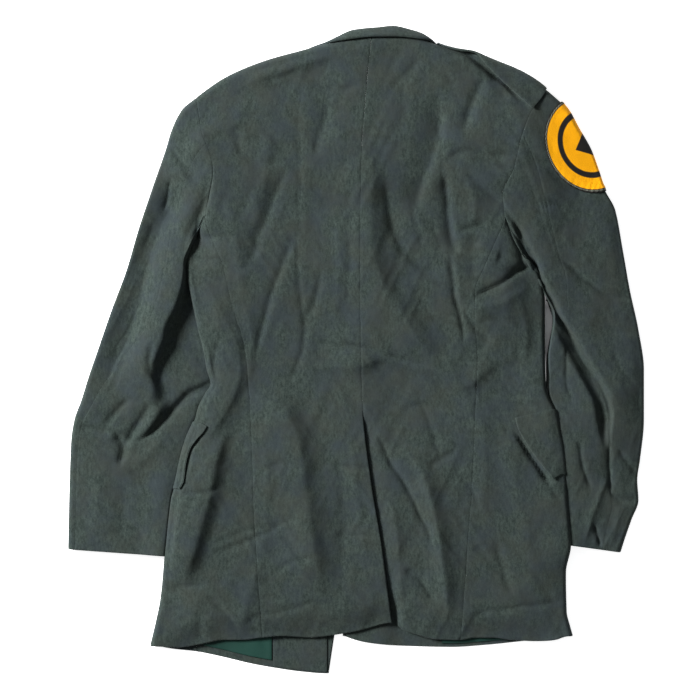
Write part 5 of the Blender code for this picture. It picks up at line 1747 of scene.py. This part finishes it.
def make_mottle_group() -> bpy.types.NodeTree:
    """Broad uneven tone: cool and warm blotches, fine fibres with a slight upright streak, and
    broad blotches that the lining uses as painted sheen.
    """
    nodes, start, end = new_group(
        "cloth mottle", {"Vector": "NodeSocketVector"}, ["Cool", "Warm", "Fibre", "PaintedSheen"])
    vector = start.outputs["Vector"]
    warm = nodes.noise(nodes.squeezed(vector, (1, 1, 1), 0.7), 27, 3, 0.55)
    coarse = nodes.noise(nodes.squeezed(vector, (1.0, 0.42, 1.0)), 330, 2, 0.6)
    fine = nodes.noise(nodes.squeezed(vector, (1.0, 0.75, 1.0), 0.3), 760, 1, 0.5)
    fibre = nodes.maths("ADD", nodes.times(coarse, 0.6), nodes.times(fine, 0.4))
    nodes.feed(end, {
        "Cool": nodes.spread(nodes.noise(vector, 34, 3, 0.55), 0.42, 0.66),
        "Warm": nodes.spread(warm, 0.44, 0.68),
        "Fibre": nodes.spread(fibre, 0.36, 0.64),
        # broad blotches that the lining mixes into its colour as painted sheen
        "PaintedSheen": nodes.spread(nodes.noise(vector, 9, 2, 0.5), 0.3, 0.7),
    })
    return nodes.tree


def make_weave_group() -> bpy.types.NodeTree:
    """A fine plain weave: the height of crossing threads, from the cloth's own run in metres."""
    nodes, start, end = new_group(
        "plain weave", {"Vector": "NodeSocketVector", "Pitch": "NodeSocketFloat"}, ["Height"])
    vector = start.outputs["Vector"]
    turns = nodes.maths("DIVIDE", 2 * math.pi, start.outputs["Pitch"])
    scaled = nodes.add("ShaderNodeVectorMath", {0: vector, "Scale": turns}, operation="SCALE")
    parts = nodes.add("ShaderNodeSeparateXYZ", {0: scaled.outputs[0]}).outputs
    over = nodes.times(nodes.maths("SINE", parts[0]), nodes.maths("SINE", parts[1]))
    slub = nodes.noise(nodes.squeezed(vector, (1, 0.2, 1)), 1400, 1, 0.5)
    nodes.feed(end, {"Height": nodes.maths("ADD", nodes.times(over, 0.35), slub)})
    return nodes.tree


@dataclass(frozen=True)
class SharedEffects:
    """The groups that more than one finish uses."""

    mottle: bpy.types.NodeTree
    weave: bpy.types.NodeTree


class Dressing:
    """A new material, its shader and the coordinates that its pattern follows."""

    def __init__(self, name: str) -> None:
        """Starts the material."""
        self.material = bpy.data.materials.new(name)
        self.material.use_nodes = True
        self.nodes = Nodes(self.material.node_tree)
        place = self.nodes.add("ShaderNodeTexCoord").outputs
        self.on_object, self.on_cloth = place["Object"], place["UV"]

    def tone(self, shared: SharedEffects) -> bpy.types.bpy_prop_collection:
        """The mottle's outputs."""
        inputs = {"Vector": self.on_object}
        return self.nodes.add("ShaderNodeGroup", inputs, node_tree=shared.mottle).outputs

    def weave_bump(
        self, shared: SharedEffects, pitch: float, strength: float, distance: float,
    ) -> Socket:
        """The normal of woven cloth whose threads are the pitch apart, in metres."""
        inputs = {"Vector": self.on_cloth, "Pitch": pitch}
        threads = self.nodes.add("ShaderNodeGroup", inputs, node_tree=shared.weave)
        return self.nodes.bump(threads.outputs["Height"], strength, distance)

    def finish(self, inputs: Inputs) -> bpy.types.Material:
        """Feeds the shader and gives back the material."""
        self.nodes.feed(self.material.node_tree.nodes["Principled BSDF"], inputs)
        return self.material


@dataclass(frozen=True)
class WoolCloth:
    """Matt, fine wool suiting in a dark grey green."""

    base: Colour = (0.0100, 0.0156, 0.0136)
    light: Colour = (0.0268, 0.0374, 0.0330)
    cool: Colour = (0.0168, 0.0230, 0.0275)
    warm: Colour = (0.0226, 0.0254, 0.0204)
    sheen_tint: Colour = (0.55, 0.66, 0.6)
    cool_share: float = 0.65
    warm_share: float = 0.45
    roughness: float = 0.95
    specular: float = 0.15
    sheen: float = 0.06
    pitch: float = 0.0011

    def build(self, shared: SharedEffects) -> bpy.types.Material:
        """The cloth's material."""
        dressing = Dressing("wool cloth")
        nodes, tone = dressing.nodes, dressing.tone(shared)
        colour = nodes.mix(tone["Fibre"], self.base, self.light)
        colour = nodes.mix(nodes.times(tone["Cool"], self.cool_share), colour, self.cool)
        colour = nodes.mix(nodes.times(tone["Warm"], self.warm_share), colour, self.warm)
        return dressing.finish({
            "Base Color": colour, "Roughness": self.roughness, "Specular IOR Level": self.specular,
            "Sheen Weight": self.sheen, "Sheen Roughness": 0.5, "Sheen Tint": (*self.sheen_tint, 1),
            "Normal": dressing.weave_bump(shared, self.pitch, 0.35, 0.00025),
        })


@dataclass(frozen=True)
class SatinLining:
    """Teal satin, smoother than the cloth, with sheen painted into its colour as broad lighter
    blotches.
    """

    base: Colour = (0.003, 0.016, 0.012)
    # light is the lighter colour of the painted sheen blotches
    light: Colour = (0.008, 0.034, 0.026)
    roughness: float = 0.55
    specular: float = 0.15
    pitch: float = 0.0006

    def build(self, shared: SharedEffects) -> bpy.types.Material:
        """The lining's material."""
        dressing = Dressing("satin lining")
        nodes, tone = dressing.nodes, dressing.tone(shared)
        rough = nodes.spread(tone["Fibre"], 0, 1, self.roughness - 0.06, self.roughness + 0.08)
        return dressing.finish({
            # the colour goes from base to light in broad blotches of painted sheen
            "Base Color": nodes.mix(tone["PaintedSheen"], self.base, self.light), "Roughness": rough,
            "Specular IOR Level": self.specular,
            "Normal": dressing.weave_bump(shared, self.pitch, 0.2, 0.0001),
        })


@dataclass(frozen=True)
class PatchFelt:
    """Gold embroidery in a dark border, with a plain dark ring and a lozenge inside it.

    Its sizes are shares of the way from the patch's middle to its outline.
    """

    gold: Colour = (0.76, 0.34, 0.001)
    deep_gold: Colour = (0.56, 0.21, 0.0005)
    dark: Colour = (0.010, 0.009, 0.008)
    stitch: Colour = (0.16, 0.17, 0.13)
    lozenge: tuple[float, float] = (0.34, 0.26)
    roughness: float = 0.78
    specular: float = 0.12

    def build(self, shared: SharedEffects) -> bpy.types.Material:
        """The patch's material. It has none of the shared effects."""
        dressing = Dressing("patch felt")
        nodes = dressing.nodes
        parts = nodes.add("ShaderNodeSeparateXYZ", {0: dressing.on_cloth}).outputs
        across, along = (
            nodes.times(nodes.maths("ABSOLUTE", part), 1 / size)
            for part, size in zip(parts, self.lozenge)
        )
        inside = nodes.spread(nodes.maths("ADD", across, along), 0.97, 1.03, 1, 0)
        length = nodes.add("ShaderNodeVectorMath", {0: dressing.on_cloth}, operation="LENGTH")
        reach = length.outputs["Value"]
        ring = nodes.times(nodes.spread(reach, 0.575, 0.59), nodes.spread(reach, 0.695, 0.71, 1, 0))
        border = nodes.spread(reach, 0.925, 0.94)
        dark = nodes.maths("MAXIMUM", nodes.maths("MAXIMUM", inside, ring), border)
        threads = nodes.add("ShaderNodeTexWave", {
            "Vector": nodes.squeezed(dressing.on_object, (1, 1, 0), 0.95), "Scale": 420.0,
            "Distortion": 1.2, "Detail": 1.0, "Detail Scale": 2.0,
        }).outputs[1]
        dash = nodes.add("ShaderNodeTexWave", {
            "Vector": nodes.squeezed(dressing.on_object, (1, 1, 0), 0.3), "Scale": 190.0,
            "Distortion": 0.6,
        }).outputs[1]
        ground = nodes.mix(nodes.spread(threads, 0.1, 0.9, 0.0, 0.8), self.gold, self.deep_gold)
        hem = nodes.times(nodes.spread(reach, 0.945, 0.955), nodes.spread(reach, 0.97, 0.98, 1, 0))
        sewn = nodes.times(hem, nodes.spread(dash, 0.45, 0.6))
        return dressing.finish({
            "Base Color": nodes.mix(sewn, nodes.mix(dark, ground, self.dark), self.stitch),
            "Roughness": self.roughness, "Specular IOR Level": self.specular,
            "Normal": nodes.bump(threads, 0.5, 0.0003),
        })


@dataclass(frozen=True)
class Brass:
    """Polished brass, a little dulled in places."""

    bright: Colour = (0.66, 0.46, 0.17)
    dull: Colour = (0.40, 0.27, 0.10)

    def build(self, shared: SharedEffects) -> bpy.types.Material:
        """The buttons' material. It has none of the shared effects."""
        dressing = Dressing("button brass")
        nodes = dressing.nodes
        tone = nodes.noise(dressing.on_object, 160, 4, 0.6)
        return dressing.finish({
            "Base Color": nodes.mix(nodes.spread(tone, 0.4, 0.7), self.bright, self.dull),
            "Roughness": nodes.spread(tone, 0.35, 0.7, 0.22, 0.42), "Metallic": 1.0,
        })


@dataclass(frozen=True)
class Studio:
    """The pale floor, the soft light and the camera straight above."""

    camera_height: float = 3.6
    view_width: float = 0.896
    middle: tuple[float, float] = (-0.0077, -0.0006)
    face_height: float = 0.010
    key_power: float = 1620.0
    key_size: float = 2.0
    key_place: tuple[float, float, float] = (-5.3, 2.2, 3.4)
    fill_strength: float = 0.33
    floor_glow: float = 0.8
    # the floor's glow fades out round this place, painting shade on the floor between the right
    # sleeve and the body
    painted_shade_place: tuple[float, float, float] = (0.243, 0.025, 0.0)  # where the floor is in shade
    painted_shade_reach: tuple[float, float] = (0.03, 0.09)
    floor_colour: Colour = (0.86, 0.86, 0.86)

    def make(self) -> None:
        """Makes all of it."""
        self.make_floor()
        self.make_light()
        self.make_camera()

    def make_floor(self) -> None:
        """Lays the floor just under the coat. It glows evenly, but the glow fades out round the gap
        between the right sleeve and the body, which paints shade on the floor there.
        """
        bm = bmesh.new()
        bmesh.ops.create_grid(bm, x_segments=1, y_segments=1, size=4)
        bmesh.ops.translate(bm, verts=bm.verts, vec=(0, 0, -0.0002))
        mesh = mesh_from(bm, "floor")
        dressing = Dressing("pale floor")
        nodes, place = dressing.nodes, dressing.on_object
        soft = tuple(0.98 * part for part in self.floor_colour)
        ends = {0: place, 1: self.painted_shade_place}
        away = nodes.add("ShaderNodeVectorMath", ends, operation="DISTANCE")
        # the glow drops to nothing round the gap between the right sleeve and the body: painted
        # shade on the floor
        glow = nodes.spread(away.outputs["Value"], *self.painted_shade_reach, 0.0, self.floor_glow)
        mesh.materials.append(dressing.finish({
            "Base Color": nodes.mix(nodes.noise(place, 6, 2, 0.5), self.floor_colour, soft),
            "Roughness": 0.95, "Specular IOR Level": 0.1,
            "Emission Color": (1, 1, 1, 1), "Emission Strength": glow,
        }))
        floor = put_in_scene("floor", mesh)

    def make_light(self) -> None:
        """Hangs a soft box over the coat and sets the room's own light."""
        key = bpy.data.lights.new("soft box", "AREA")
        key.energy, key.shape, key.size = self.key_power, "DISK", self.key_size
        lamp = put_in_scene("soft box", key)
        lamp.location = self.key_place
        lamp.rotation_euler = Vector(self.key_place).to_track_quat("Z", "Y").to_euler()
        lamp.visible_camera = False
        world = bpy.data.worlds.new("room")
        world.use_nodes = True
        background = world.node_tree.nodes["Background"]
        background.inputs["Color"].default_value = (0.97, 0.985, 1.0, 1)
        background.inputs["Strength"].default_value = self.fill_strength
        bpy.context.scene.world = world
        bpy.context.scene.view_settings.view_transform = "Standard"

    def make_camera(self) -> None:
        """Sets the camera straight above, with the collar at the top of its picture."""
        camera = bpy.data.cameras.new("camera")
        camera.sensor_width = 36.0
        camera.lens = 36.0 * (self.camera_height - self.face_height) / self.view_width
        camera.clip_start, camera.clip_end = 0.1, 20.0
        eye = put_in_scene("camera", camera)
        eye.location = (*self.middle, self.camera_height)
        bpy.context.scene.camera = eye


def main() -> None:
    """Builds the coat and its studio, piece by piece."""
    logging.basicConfig(level=logging.INFO, format="%(name)s: %(message)s")
    Studio().make()
    shared = SharedEffects(make_mottle_group(), make_weave_group())
    finishes = {
        Stuff.CLOTH: WoolCloth(), Stuff.LINING: SatinLining(),
        Stuff.PATCH: PatchFelt(), Stuff.BRASS: Brass(),
    }
    tailor = Tailor({stuff: finish.build(shared) for stuff, finish in finishes.items()})
    form = CoatForm()
    Body(form).make(tailor)
    Sleeves(form).make(tailor)
    Collar().make(tailor)
    Lapels(form).make(tailor)
    Straps(form).make(tailor)
    Flaps(form).make(tailor)
    HemLinings(form).make(tailor)
    SleevePatch(form).make(tailor)
    Buttons().make(tailor)


if __name__ == "__main__":
    main()
